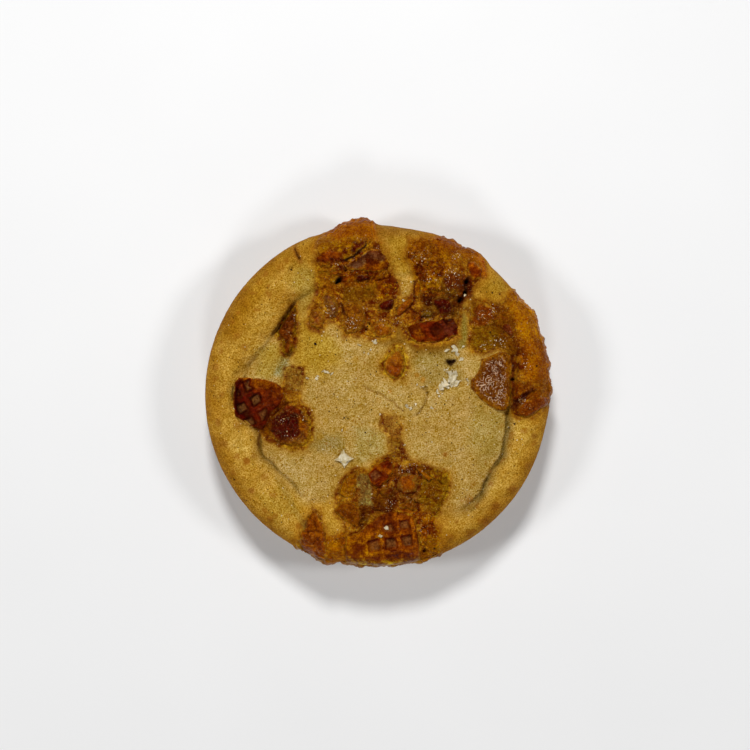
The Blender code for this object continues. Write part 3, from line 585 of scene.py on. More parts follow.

# Narrow lines of burnt or deep caramel, and of painted shade in the creases, cracks, holes and gaps at
# some pieces' edges; the darkest, in crevices, are both: (line, half width, colour, strength).
LINES = (
    ([(-9.6, 38.3), (-6.5, 40), (-4.4, 41.6), (-2.9, 43.2)], 0.45, "#1E0A06", 0.9),
    ([(-16.5, 38.6), (-13, 38.8), (-9.7, 38.6)], 0.8, "#4A0E02", 0.8),
    ([(-10.4, 26.4), (-9.6, 25), (-9.2, 23.6)], 0.6, "#380C02", 0.8),
    ([(10.9, 27.8), (10.9, 30), (11.1, 32.8)], 0.4, "#4C0C02", 0.85),
    ([(6, 22.8), (8.6, 24.2), (10.8, 26.4)], 0.45, "#4A0C02", 0.85),
    ([(39.5, -1), (39.6, 3), (39.4, 8), (39.2, 11)], 0.55, "#4A1004", 0.85),
    ([(39.4, -3.7), (42, -1), (44.8, 1.7)], 0.9, "#4A1C0C", 0.85),
    ([(26.2, 33.6), (25.7, 31.6), (25.4, 29.4), (24.2, 27.2)], 0.7, "#200802", 0.9),
    ([(6.4, -27.6), (8.6, -28.6), (10.8, -28.2)], 0.4, "#4A0A00", 0.85),
    ([(20.6, 9.8), (22.8, 9.8), (21.5, 8.6), (20.8, 9.6)], 0.5, "#30140A", 0.95),
    ([(-11.4, 32.4), (-10.4, 33.8)], 0.7, "#160804", 0.95),
    ([(-23.4, 26.6), (-26.2, 23.4), (-28.6, 19.4), (-30.2, 17.6)], 0.5, "#3A1604", 0.8),
    ([(-23.6, 42.6), (-22.9, 40.6), (-21.8, 38.4)], 1.1, "#8A4E10", 0.55),
    ([(-23.4, 42), (-22.9, 40.6), (-22.1, 39.2)], 0.3, "#3A1404", 0.9),
    ([(-41.2, 2.4), (-41.5, 0.6), (-41.4, -1.4)], 0.45, "#2A1206", 0.75),
    ([(-40.6, -6.6), (-38, -8.4), (-33, -10.9)], 0.4, "#4A2406", 0.5),
    ([(-33.8, -11.4), (-34.2, -13.2), (-33.9, -15.2)], 0.5, "#4E2806", 0.9),
    ([(-33.9, -15.2), (-33.2, -17.6), (-30, -20.2), (-28, -22.5), (-24.8, -24.8), (-22.8, -26.9),
      (-21.9, -29.2)], 0.32, "#6E5014", 0.5),
    ([(37.6, -6.4), (37.2, -12), (37, -15), (36.5, -18), (35, -20), (33.2, -22), (31.1, -26)], 0.3,
      "#54400E", 0.75),
    ([(31.1, -26), (30.5, -29), (28.8, -31.8), (27.1, -33.6)], 0.4, "#6A541C", 0.5),
    ([(-28, -25), (-25.6, -29), (-23.6, -33), (-20.6, -37.6)], 1.1, "#8A6E26", 0.45),
    ([(-3.8, 2.5), (-2, 1.3), (0, 0.6), (1.6, 0.2), (3.2, -1.6), (5, -1.9), (6.3, -3.7), (8.2, -5)], 0.24,
      "#7A5010", 0.8),
    ([(14, 2), (14.8, 0.4), (14.2, -2.2), (13, -4.4), (11.8, -5.8)], 0.4, "#765418", 0.75),
    ([(-24.4, 12), (-26.2, 9.4), (-27.2, 5.6)], 0.5, "#6A4E1E", 0.6),
)
# Small stains of browned sugar and butter on the plain dough: (x, y, radius, colour).
STAINS = (
    (-37.4, -19, 0.9, "#8A4A08"), (-39.8, 23.5, 0.7, "#9A6010"), (-41.5, 21, 0.6, "#9A6010"),
    (13.5, 4.3, 0.8, "#A0690E"), (4, 1, 0.6, "#A0690E"), (11.8, 5.6, 0.6, "#A0690E"),
    (20, -17.2, 0.7, "#94540A"), (-44, -14, 1.2, "#8E5A12"), (-45.5, -8, 1, "#94601A"),
    (-46.4, 8, 1.1, "#8E5A12"), (-36, -27.4, 0.8, "#8A5010"), (-30.4, -36, 0.9, "#8E560E"),
    (-23.6, 15.6, 1.1, "#8A4E06"), (45.6, -12, 0.9, "#8A5614"), (43.8, -20.4, 1, "#8E5A14"),
    (39, -27.4, 1.2, "#8A5612"), (34.4, -32.2, 1.3, "#7C4408"), (31.4, -36.6, 1.2, "#8A500A"),
    (27, -40, 1.1, "#84500E"), (-27.6, 37, 1.2, "#94600E"), (-33.6, 32.4, 1, "#9A6612"),
    (-9.5, -9.8, 0.8, "#A87C18"), (-6, 10.2, 0.9, "#AC8228"), (-14.6, -7.4, 0.7, "#A88026"),
    (24.4, 3.2, 0.7, "#A87C26"), (-16.2, -12, 1, "#A27A20"), (0.6, -1.8, 1, "#A8802E"),
)


def painted(points, colour, fields, cover=1.0):
    """Lays fields of colour over a ground, with a ragged border and within a cover from 0 to 1."""
    bent = wavered(points, 2.4, 51, 0.7)
    for outline, code, soft, strength in fields:
        colour = laid_over(colour, code, eased(inward(bent, outline) / soft + 0.5) * strength * cover)
    return colour


def lined(points, colour):
    """Draws the narrow lines and small stains over a ground."""
    bent = wavered(points, 1.5, 53, 0.22)
    shown = eased((points[:, 2] - 8.0) / 3.0)
    for line, half, code, strength in LINES:
        share = eased(1.25 + inward(bent, line, closed=False) / half) * strength * shown
        colour = laid_over(colour, code, share)
    for x, y, reach, code in STAINS:
        colour = laid_over(colour, code, eased(1.5 - np.hypot(*(bent - (x, y)).T) / reach) * 0.75 * shown)
    return colour


def new_mesh(name, points, faces, **attributes):
    """An object from points in mm and faces, with its point attributes: numbers or linear colours."""
    mesh = bpy.data.meshes.new(name)
    mesh.from_pydata((points * MM).tolist(), [], faces)
    for key, values in attributes.items():
        if values.ndim == 1:
            mesh.attributes.new(key, "FLOAT", "POINT").data.foreach_set("value", values.astype(np.float32))
        else:
            full = np.concatenate([values, np.ones((len(values), 1))], axis=1).astype(np.float32)
            mesh.attributes.new(key, "FLOAT_COLOR", "POINT").data.foreach_set("color", full.ravel())
    mesh.shade_smooth()
    made = bpy.data.objects.new(name, mesh)
    bpy.context.scene.collection.objects.link(made)
    return made


def drawn_round(u, v):
    """A square from -1 to 1 drawn round into a disc, with even spacing."""
    steep = np.abs(v) > np.abs(u)
    reach = np.where(steep, v, u)
    turn = math.pi / 4 * np.where(steep, u, v) / np.where(reach == 0, 1, reach)
    turn = np.where(steep, math.pi / 2 - turn, turn)
    return reach * np.cos(turn), reach * np.sin(turn)


# Painted glints: where the caramel's glints are painted densely as pale spots, (x, y, radius).
PAINTED_GLINTS = (
    (-6.8, 20.6, 2.2), (-13.4, 24.6, 2.2), (-3, 24.6, 1), (1.8, 20.6, 1.4), (6.6, 18.8, 1.8),
    (6.4, 21, 1.4), (-22.6, 22.4, 1.4), (0.6, 40.8, 1.6), (-5.4, 38.4, 1.6), (-10.8, 37, 1.2),
    (12.6, 40, 2.4), (9.6, 42.4, 1.4), (16, 33.4, 2.2), (21.8, 35.2, 2.4), (22.8, 40, 1.4), (21.6, 31, 1.8),
    (14.6, 22.8, 1.6), (20.4, 21.6, 1.2), (31.4, 22.6, 2), (33.4, 25, 1.4), (35.2, 15, 2.2),
    (31.6, 13.4, 1.2), (41.8, -1.4, 1.4), (43.6, 8.6, 1.6), (8.2, -21.6, 1.8), (11.2, -19.4, 1.4),
    (13.4, -22.4, 1), (4.2, -31.8, 1.6), (-1.4, -29.2, 1), (9.6, -30.2, 1.2), (18.4, -34, 1.6),
    (2, -25.8, 1), (-27.2, -7.2, 1.6), (-25, -11.4, 1.6), (-21.2, -7, 0.9), (13.6, -38.6, 1.2),
)


def painted_glint_cover(points):
    """How densely painted glints cover each point, 0 to 1."""
    total = np.zeros(len(points))
    for x, y, reach in PAINTED_GLINTS:
        total = np.maximum(total, eased(1.4 - np.hypot(points[:, 0] - x, points[:, 1] - y) / reach))
    return total


def top_colour(points):
    """Colour of the baked top over points, and how far caramel has soaked in."""
    x, y, z = points.T
    radius = np.hypot(x, y)
    fold = between(FOLD_LINE, np.degrees(np.arctan2(y, x)))
    rim = eased((radius - fold + 3 + 1.2 * rough(points, 5.0, 81)) / 7)
    outer = eased((radius - DARK_RIM_START + 1.6 * rough(points, 4.0, 85)) / 5.5)
    wall = eased((WALL_TOP - z) / 2.4) * (radius > 40)
    under = eased((BASE_EDGE - z) / 1.2)
    colour = np.broadcast_to(linear(PALE_MIDDLE), points.shape)
    for code, share in ((GOLDEN_RIM, rim), (OUTER_RIM, outer * 0.8), (BAKED_WALL, wall), (BAKED_BASE, under)):
        colour = laid_over(colour, code, share)
    colour = painted(points, colour, FIELDS, eased((z - 2.0) / 3.0))
    # The bake is uneven: warm and cool blotches some 3 to 6 mm wide, stronger towards the rim.
    bake = (0.12 + 0.14 * rim) * rough(points, 6.0, 92, 4)
    colour *= np.exp(np.multiply.outer(bake, BAKE_SWING))
    # Painted shade darkens the hollow inside the rim and its crease; syrup darkens the dough round the
    # soaked stretches.
    away, depth = rim_crease(x, y)
    hollow = depth / 1.6 * np.exp(-((away / np.where(away < 0, 3.5, 1.4)) ** 2))
    slit = np.clip(depth, 0, 1) * np.exp(-((away / 0.4) ** 2)) * (z > 9)
    colour *= 1 - np.multiply.outer(hollow, HOLLOW_SHADE) - np.multiply.outer(slit, SLIT_SHADE)
    halo = np.zeros(len(points))
    for outline, _ in SOAKED.values():
        halo = np.maximum(halo, eased(1 + crust_border(points, outline) / 3.2))
    colour *= np.exp(np.multiply.outer(-halo * (0.75 + 0.4 * rough(points, 3.0, 94)), SYRUP_HALO))
    cover = soaked(points) * eased((z - 5.5 + 2.0 * rough(points, 4.0, 91)) / 2.5)
    colour = laid_over(colour, SOAKED_CRUMB, cover)
    return lined(points, painted(points, colour, SOAKED_FIELDS, cover)), cover


def dough_mesh():
    """The dough: a fine disc of squares for the top, then rings down the wall, round the foot and inward
    under the base."""
    side = 270
    wall_rows, foot_rows, base_rings = 13, 3, 3
    over = 0.825  # this share of the way out, measured along the surface, is the crest
    u, v = np.meshgrid(np.linspace(-1, 1, side + 1), np.linspace(-1, 1, side + 1), indexing="ij")
    x, y = drawn_round(u.ravel(), v.ravel())
    angle = np.degrees(np.arctan2(y, x))
    share = np.hypot(x, y)
    edge = edge_radius(angle)
    crest = edge - CREST_INSET
    bend = np.sin((share - over) / (1 - over) * math.pi / 2)
    radius = np.where(share < over, share / over * crest, crest + CREST_INSET * bend)
    way = np.stack([np.cos(np.radians(angle)), np.sin(np.radians(angle))], axis=1)
    x, y = radius * way[:, 0], radius * way[:, 1]
    z = dough_top(x, y)
    grain = np.stack([x, y, z], axis=1)
    soak = soaked(grain)
    # Caramel that ran over the rim leaves a knobbly edge.
    run = soak * eased((radius - 45.5) / 3.5) * (0.7 * rough(grain, 1.9, 68, 3) + 0.1)
    x += run * way[:, 0]
    y += run * way[:, 1]
    z += soak * 0.3 * crumb_relief(grain)[0]
    inner = radius < edge - 1.2
    for outline, _ in SOAKED.values():
        z -= inner * CRUST_BED * eased((crust_border(grain, outline) - 0.5) / 1.0)
    z = pocketed(x, y, z)
    number = np.arange((side + 1) ** 2).reshape(side + 1, side + 1)
    corners = [number[:-1, :-1], number[1:, :-1], number[1:, 1:], number[:-1, 1:]]
    faces = np.stack(corners, axis=-1).reshape(-1, 4).tolist()
    rim = np.unique(np.concatenate([number[0], number[-1], number[:, 0], number[:, -1]]))
    rim = rim[np.argsort(angle[rim])]
    rings = [rim]
    points = [np.stack([x, y, z], axis=1)]
    start = len(x)
    bulge = np.hypot(x, y)[rim] - RADIUS
    for row in range(1, wall_rows + foot_rows + base_rings + 1):
        if row <= wall_rows:
            t = row / wall_rows
            high = z[rim] + (FOOT_HEIGHT - z[rim]) * t
            out = RADIUS - FOOT_INSET * t**2.2 + bulge * (1 - eased(t * 1.5))
        elif row <= wall_rows + foot_rows:
            t = (row - wall_rows) / foot_rows * math.pi / 2
            high = np.full(len(rim), FOOT_HEIGHT * (1 - math.sin(t)))
            out = RADIUS - BASE_INSET + (BASE_INSET - FOOT_INSET) * math.cos(t)
        else:
            high = np.zeros(len(rim))
            out = (RADIUS - BASE_INSET) * (1 - (row - wall_rows - foot_rows) / (base_rings + 1))
        ring = np.column_stack([way[rim] * np.broadcast_to(out, len(rim))[:, None], high])
        if row < wall_rows + foot_rows:
            ring[:, :2] += way[rim] * (0.16 * rough(ring, 3.0, 71, 3))[:, None]
        points.append(ring)
        rings.append(np.arange(start, start + len(rim)))
        start += len(rim)
    points.append(np.zeros((1, 3)))
    for upper, lower in zip(rings, rings[1:]):
        faces += np.stack([upper, lower, np.roll(lower, -1), np.roll(upper, -1)], axis=1).tolist()
    faces += [[start, b, a] for a, b in zip(rings[-1], np.roll(rings[-1], -1))]
    points = np.concatenate(points)
    colour, soak = top_colour(points)
    reach = np.hypot(points[:, 0], points[:, 1])
    plain = (1 - soak) * eased((48 - reach) / 4) * eased(0.55 + 0.8 * noise(points, 9.0, 96))
    browned = eased((reach - 33) / 10)
    return new_mesh("dough_body", points, faces, tint=colour, soak=soak, browned=browned, bits=plain)


def fill(tree, node, put):
    """Fills a node's inputs, by name or number, with values or other nodes' outputs."""
    for place, value in put.items():
        if isinstance(value, bpy.types.NodeSocket):
            tree.links.new(value, node.inputs[place])
        else:
            node.inputs[place].default_value = value


def add(tree, kind, put=None, **settings):
    """Adds a node to a tree with its settings and inputs."""
    made = tree.nodes.new(kind)
    for name, value in settings.items():
        setattr(made, name, value)
    fill(tree, made, put or {})
    return made


def attribute(tree, name, output="Fac"):
    """A value stored on the surface."""
    return add(tree, "ShaderNodeAttribute", attribute_name=name).outputs[output]


def maths(tree, operation, *values):
    """Arithmetic on numbers."""
    return add(tree, "ShaderNodeMath", dict(enumerate(values)), operation=operation).outputs[0]


def vectors(tree, operation, *values):
    """Arithmetic on vectors and colours. SCALE takes a number second."""
    places = (0, "Scale" if operation == "SCALE" else 1)
    return add(tree, "ShaderNodeVectorMath", dict(zip(places, values)), operation=operation).outputs[0]


def ranged(tree, value, *ends, **settings):
    """A number carried from one range to another: from least, from most, to least, to most."""
    return add(tree, "ShaderNodeMapRange", dict(enumerate((value, *ends))), **settings).outputs[0]


def blend(tree, share, low, high):
    """A colour between two, each a hex code, linear values or another node's output."""
    ends = [linear(end) if isinstance(end, str) else end for end in (low, high)]
    ends = [end if isinstance(end, bpy.types.NodeSocket) else (*end, 1) for end in ends]
    return add(tree, "ShaderNodeMix", {0: share, 6: ends[0], 7: ends[1]}, data_type="RGBA").outputs[2]


def new_material(name):
    """A new material, its node tree, its shader and the place on the surface in metres."""
    made = bpy.data.materials.new(name)
    made.use_nodes = True
    shader = made.node_tree.nodes["Principled BSDF"]
    where = add(made.node_tree, "ShaderNodeTexCoord").outputs["Object"]
    return made, made.node_tree, shader, where


def noise_of(tree, where, size, detail=2.0, roughness=0.6):
    """Noise with lumps of a size in mm, spread from 0 to 1."""
    put = {"Vector": where, "Scale": 0.7 / (size * MM), "Detail": detail, "Roughness": roughness}
    return ranged(tree, add(tree, "ShaderNodeTexNoise", put).outputs["Fac"], 0.3, 0.7)


def swayed(tree, where, scale, reach, detail=1.0):
    """Vectors from noise of a scale, up to about half of reach long, that push points out of place."""
    cloud = add(tree, "ShaderNodeTexNoise", {"Vector": where, "Scale": scale, "Detail": detail})
    swing = vectors(tree, "SUBTRACT", cloud.outputs["Color"], (0.5, 0.5, 0.5))
    return vectors(tree, "SCALE", swing, reach)


def bumped(tree, *layers):
    """The normal under bumps laid one over another, fine ones first: (height, strength, distance in mm)."""
    put = {}
    for height, strength, distance in layers:
        put.update({"Height": height, "Strength": strength, "Distance": distance * MM})
        put["Normal"] = add(tree, "ShaderNodeBump", put).outputs[0]
    return put["Normal"]


def dress(tree, shader, colour, roughness, specular, sheen, *bumps):
    """Gives a shader its colour, its roughness, the strength and colour of its gloss, and bumps."""
    put = {"Base Color": colour, "Roughness": roughness, "Specular IOR Level": specular}
    put["Specular Tint"] = (*linear(sheen), 1)
    if bumps:
        put["Normal"] = bumped(tree, *bumps)
    fill(tree, shader, put)


def grained(tree, where, colour, size, low, high):
    """A colour times a law that runs from low to high with a grain of a size in mm."""
    return vectors(tree, "MULTIPLY", colour, blend(tree, noise_of(tree, where, size, 0.5), low, high))


DEEP_CARAMEL = (0.42, 0.13, 0.06)  # what a deeper layer leaves of red, green and blue
THIN_CARAMEL = (1.6, 1.78, 1.9)
CARAMEL_SHEEN = "#FF8C28"
BURNT_CARAMEL = "#4A0E02"


def veined(tree, where, tint, blotch=2.2, vein=0.8, share=0.6, calm=0.0):
    """A caramel tint that runs from thin and golden to deep and red, in blotches and finer veins sized in mm.
    calm, from 0 to 1, takes the swing out."""
    slow = noise_of(tree, where, blotch, 3.0)
    quick = noise_of(tree, where, vein, 3.0, 0.7)
    mixed = add(tree, "ShaderNodeMix", {0: 1 - share, 2: slow, 3: quick}, data_type="FLOAT").outputs[0]
    steep = ranged(tree, mixed, 0.3, 0.72)
    even = add(tree, "ShaderNodeMix", {0: calm, 2: steep, 3: 0.6}, data_type="FLOAT").outputs[0]
    own = vectors(tree, "MULTIPLY", tint, blend(tree, even, DEEP_CARAMEL, THIN_CARAMEL))
    own = grained(tree, where, own, 0.9, (0.9, 0.84, 0.8), (1.1, 1.16, 1.2))
    return grained(tree, where, own, 0.3, (0.74, 0.5, 0.3), (1.26, 1.5, 1.9))


def spotted(tree, where, colour, code, pitch, radius, strength, ragged):
    """Round spots of one colour in mm, one in each cell of a given pitch, with a ragged border."""
    bent = vectors(tree, "ADD", where, swayed(tree, where, 0.7 / (ragged * MM), 2.4 * ragged * MM, 2.0))
    cells = add(tree, "ShaderNodeTexVoronoi", {"Vector": bent, "Scale": 1 / (pitch * MM), "Randomness": 1.0})
    reach = radius / pitch
    dot = ranged(tree, cells.outputs["Distance"], reach, 0.6 * reach, 0.0, 1.0)
    return blend(tree, maths(tree, "MULTIPLY", dot, strength), colour, code)


def sugar_and_painted_glints(tree, where, colour):
    """Pale spots of 0.3 mm: sugar crystals and painted glints, in drifts a few millimetres wide, and dense
    where the painted-glint attribute is high."""
    painted_glint = attribute(tree, "painted_glint")
    drift = ranged(tree, noise_of(tree, where, 3.0), 0.35, 0.8, 0.1, 0.6)
    share = maths(tree, "MAXIMUM", drift, painted_glint)
    colour = spotted(tree, where, colour, "#C09850", 0.7, 0.17, share, 0.25)
    colour = spotted(tree, where, colour, "#DCC8A0", 1.6, 0.18, drift, 0.25)
    return spotted(tree, where, colour, "#F0E4CC", 0.75, 0.17, painted_glint, 0.3)


def wet_coat(tree, shader, where, weight):
    """A thin wet skin whose small waves, 0.6 mm apart, break up the light."""
    skin = bumped(tree, (noise_of(tree, where, 0.6, 1.0), 1.0, 0.34))
    fill(tree, shader, {"Coat Weight": weight, "Coat Roughness": 0.06, "Coat Normal": skin})


def baked_dough():
    """Baked butter dough, a dry open crumb: matt, with sugar grain, browned freckles towards the rim and dark
    pores. Where caramel has soaked in it is veined and shows small wet glints, partly painted as pale spots."""
    made, tree, shader, where = new_material("baked_butter_dough")
    tint = attribute(tree, "tint", "Color")
    soak, browned = attribute(tree, "soak"), attribute(tree, "browned")
    # Sugar and flour grain, about 0.3 mm, from butter yellow to nearly white, over two softer mottles.
    dry = grained(tree, where, tint, 0.26, (0.66, 0.54, 0.0), (1.34, 1.46, 2.5))
    dry = grained(tree, where, dry, 0.9, (0.9, 0.88, 0.74), (1.1, 1.12, 1.26))
    dry = grained(tree, where, dry, 2.2, (0.94, 0.92, 0.76), (1.06, 1.08, 1.24))
    # Browned freckles of 1 to 2 mm on the rim, small ones in drifts and dark pores all over.
    drift = ranged(tree, noise_of(tree, where, 6.0), 0.3, 0.8, 0.1, 0.7)
    dry = spotted(tree, where, dry, "#8E5410", 4.2, 1.3, maths(tree, "MULTIPLY", browned, 0.55), 1.0)
    dry = spotted(tree, where, dry, "#8A5410", 1.5, 0.34, drift, 0.3)
    dry = spotted(tree, where, dry, "#4E2C06", 1.9, 0.25, 0.9, 0.25)
    # Where caramel soaked in, pale spots paint its wet glints.
    wet = sugar_and_painted_glints(tree, where, veined(tree, where, tint, calm=maths(tree, "MULTIPLY", browned, 0.5)))
    gloss = ranged(tree, soak, 0.3, 0.9, 0.85, 0.32)
    grain, mottle = noise_of(tree, where, 0.3, 0.0), noise_of(tree, where, 1.8, 3.0)
    colour = blend(tree, soak, dry, wet)
    dress(tree, shader, colour, gloss, 0.16, "#FFC070", (grain, 0.6, 0.06), (mottle, 0.8, 0.36))
    return made


dough_finish = baked_dough()
dough = dough_mesh()
dough.data.materials.append(dough_finish)
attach(dough, "root")
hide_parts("dough")


# ---- Caramel-soaked crust ----
# Where chopped waffle melted, its caramel bound the crumb into a rough crust of small bits with dark
# clefts between them. It grew together with the dough, so its border is ragged and has no step.


def cut_lines(outline, step):
    """An outline with points added so that none lie further apart than step, in mm."""
    corners = np.array(outline, float)
    runs = []
    for start, end in zip(corners, np.roll(corners, -1, axis=0)):
        count = max(1, math.ceil(np.hypot(*(end - start)) / step))
        runs.append(start + (end - start) * (np.arange(count) / count)[:, None])
    return np.concatenate(runs)


def patch(outline, spacing):
    """Fills an outline with squares: its points in mm, its faces and its border edges, anticlockwise."""
    corners = np.array(outline, float)
    low = corners.min(axis=0) - spacing
    count = np.ceil((corners.max(axis=0) + spacing - low) / spacing).astype(int)
    i, j = np.meshgrid(np.arange(count[0]), np.arange(count[1]), indexing="ij")
    centres = low + (np.stack([i.ravel(), j.ravel()], axis=1) + 0.5) * spacing
    used = (inward(centres, outline) > 0).reshape(count)
    for _ in range(4):  # drops squares that touch the rest only by a corner or one side
        ring = np.pad(used, 1)
        sides = ring[:-2, 1:-1].astype(int) + ring[2:, 1:-1] + ring[1:-1, :-2] + ring[1:-1, 2:]
        used &= sides >= 2
        slant = used[:-1, :-1] & used[1:, 1:] & ~used[1:, :-1] & ~used[:-1, 1:]
        used[:-1, :-1] &= ~slant
        slant = used[1:, :-1] & used[:-1, 1:] & ~used[:-1, :-1] & ~used[1:, 1:]
        used[1:, :-1] &= ~slant
    i, j = np.nonzero(used)
    wide = count[1] + 1
    faces = np.stack([i * wide + j, (i + 1) * wide + j, (i + 1) * wide + j + 1, i * wide + j + 1], axis=1)
    keep, faces = np.unique(faces, return_inverse=True)
    faces = faces.reshape(-1, 4)
    points = low + np.stack([keep // wide, keep % wide], axis=1) * spacing
    edges = np.concatenate([faces[:, [k, (k + 1) % 4]] for k in range(4)])
    both = edges[:, 0] * len(points) + edges[:, 1]
    back = edges[:, 1] * len(points) + edges[:, 0]
    border = edges[~np.isin(both, back)]
    on_border = np.unique(border)
    snapped = points[on_border].copy()
    nearest = np.full(len(snapped), 1e9)
    for start, end in zip(corners, np.roll(corners, -1, axis=0)):
        t = np.clip(((points[on_border] - start) @ (end - start)) / ((end - start) @ (end - start)), 0, 1)
        foot = start + t[:, None] * (end - start)
        away = np.linalg.norm(points[on_border] - foot, axis=1)
        snapped[away < nearest] = foot[away < nearest]
        nearest = np.minimum(nearest, away)
    points[on_border] = snapped
    fixed = np.zeros(len(points), bool)
    fixed[on_border] = True
    for _ in range(3):  # evens out the squares next to the border
        total, share = np.zeros_like(points), np.zeros(len(points))
        for a, b in ((0, 1), (1, 2), (2, 3), (3, 0)):
            for one, other in ((faces[:, a], faces[:, b]), (faces[:, b], faces[:, a])):
                total += np.stack([np.bincount(one, points[other, k], len(points)) for k in (0, 1)], axis=1)
                share += np.bincount(one, minlength=len(points))
        points[~fixed] = (total / share[:, None])[~fixed]
    return points, faces, border


def slab_mesh(name, flat, faces, border, high, low, paint, wall_rows=4, **crown_values):
    """A closed piece between an upper and a lower height over a patch, coloured by paint."""
    on_border = np.unique(border)
    layers, numbers, start = [np.column_stack([flat, high])], [np.arange(len(flat))], len(flat)
    for k in range(1, wall_rows):  # the wall's rows hold only border points
        part = layers[0][on_border].copy()
        part[:, 2] += (low - high)[on_border] * k / wall_rows
        row = np.full(len(flat), -1)
        row[on_border] = np.arange(start, start + len(on_border))
        layers.append(part)
        numbers.append(row)
        start += len(on_border)
    layers.append(np.column_stack([flat, low]))
    numbers.append(np.arange(start, start + len(flat)))
    points = np.concatenate(layers)
    made = faces.tolist() + numbers[-1][faces[:, ::-1]].tolist()
    ahead, after = border.T
    for upper, lower in zip(numbers, numbers[1:]):
        made += np.stack([upper[ahead], lower[ahead], lower[after], upper[after]], axis=1).tolist()
    rest = np.zeros(len(points) - len(flat))
    more = {key: np.concatenate([values, rest]) for key, values in crown_values.items()}
    return new_mesh(name, points, made, **paint(points), **more)


def soaked_crumb():
    """Crumb bound by melted caramel: glassy and veined, from golden to deep red, with pale spots of sugar
    crystals and painted glints on its skin. It is dry and matt where it baked against the air on the rim."""
    made, tree, shader, where = new_material("caramel_soaked_crumb")
    tint, browned = attribute(tree, "tint", "Color"), attribute(tree, "browned")
    body = veined(tree, where, tint, calm=maths(tree, "MULTIPLY", browned, 0.6))
    dark = ranged(tree, browned, 0.0, 1.0, 0.6, 0.3)
    colour = sugar_and_painted_glints(tree, where, spotted(tree, where, body, BURNT_CARAMEL, 3.4, 0.8, dark, 0.8))
    gloss = ranged(tree, browned, 0.0, 1.0, 0.32, 0.62)
    wet_coat(tree, shader, where, ranged(tree, browned, 0.0, 1.0, 0.03, 0.0))
    grain, lumpy = noise_of(tree, where, 0.45, 2.0), noise_of(tree, where, 1.5, 3.0)
    dress(tree, shader, colour, gloss, 0.15, CARAMEL_SHEEN, (grain, 0.8, 0.22), (lumpy, 0.9, 0.6))
    return made


def crust_paint(points):
    """The crust's colours and marks over its points."""
    colour, soak = top_colour(points)
    _, cleft, tone = crumb_relief(points)
    browned = eased((np.hypot(points[:, 0], points[:, 1]) - 42) / 4)
    for quiet in CALM:
        browned = np.maximum(browned, eased(inward(points, quiet) / 1.6 + 0.4))
    depth = soak * (1 - 0.5 * browned) * (1.7 * cleft - 0.55 * tone)
    bits = chunkiness(points[:, :2]) * eased((soak - 0.8) / 0.2)
    # The cover of painted glints rides along with the crust's colours.
    marks = {"soak": soak, "browned": browned, "bits": bits, "painted_glint": painted_glint_cover(points)}
    return {"tint": steeped(colour, depth), **marks}


crust_finish = soaked_crumb()
CRUST_GRAIN = 0.24  # spacing of the crust's mesh
CRUST_THICKNESS = 1.0
CRUST_EDGE_DROP = 0.9  # how far its border dips into the dough
EDGE_CLEARANCE = 0.7  # from the crust's border to the dough's outer edge
crusts = []
for name, (outline, softness) in SOAKED.items():
    full = cut_lines(outline, 1.2)
    turn = np.degrees(np.arctan2(full[:, 1], full[:, 0]))
    reach = np.hypot(full[:, 0], full[:, 1])
    full *= (np.minimum(reach, edge_radius(turn) - EDGE_CLEARANCE) / reach)[:, None]
    flat, faces, border = patch(full, CRUST_GRAIN)
    where = level(*flat.T)
    inside = np.minimum(crust_border(where, outline), inward(flat, full) * 1.5 + 0.1)
    dip = CRUST_EDGE_DROP * eased(1.1 - inside / 0.9)
    top = dough_top(*flat.T) + crumb_relief(where)[0] - dip + CRUST_LIFT
    top = pocketed(*flat.T, top)
    crust = slab_mesh(name, flat, faces, border, top, top - CRUST_THICKNESS, crust_paint, 2)
    crust.data.materials.append(crust_finish)
    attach(crust, "root")
    crusts.append(crust)
laid = [dough, *crusts]  # every piece so far, for the bits that lie on them


# ---- Syrup waffle pieces ----
# Broken pieces of a thin syrup waffle, baked in an iron that presses square pits into it. They are
# soaked with caramel, so the ribs are glossy red-brown and the pits' floors dull and darker.
WAFFLE_PITCH = 4.8
PIT_WIDTH = 3.95
PIT_DEPTH = 0.85
# How each lies: turn of the rows in degrees, the centre of one pit, how far its ribs stand over the
# dough, the width of a pit's floor, how far the deep syrup and painted shade reach round all of a pit,
# and the ribs' colour.
WAFFLE_ROWS = {
    "waffle_left": (28, (-34.6, -1.5), 0.5, 1.5, 0.5, "#511501"),
    "waffle_middle": (38, (17.3, 18.9), 0.7, 1.6, 0.3, "#561401"),
    "waffle_front": (8, (8.9, -42.1), 0.9, 1.7, 0.0, "#6C3201"),
    "waffle_front_small": (42, (-0.3, -23.3), 1.1, 1.5, 0.3, "#783C01"),
    "waffle_top": (-8, (-0.2, 42.0), 0.5, 1.4, 0.0, "#794404"),
    "waffle_upper_right": (-40, (28.35, 35.8), 0.5, 1.6, 0.0, "#924C01"),
}
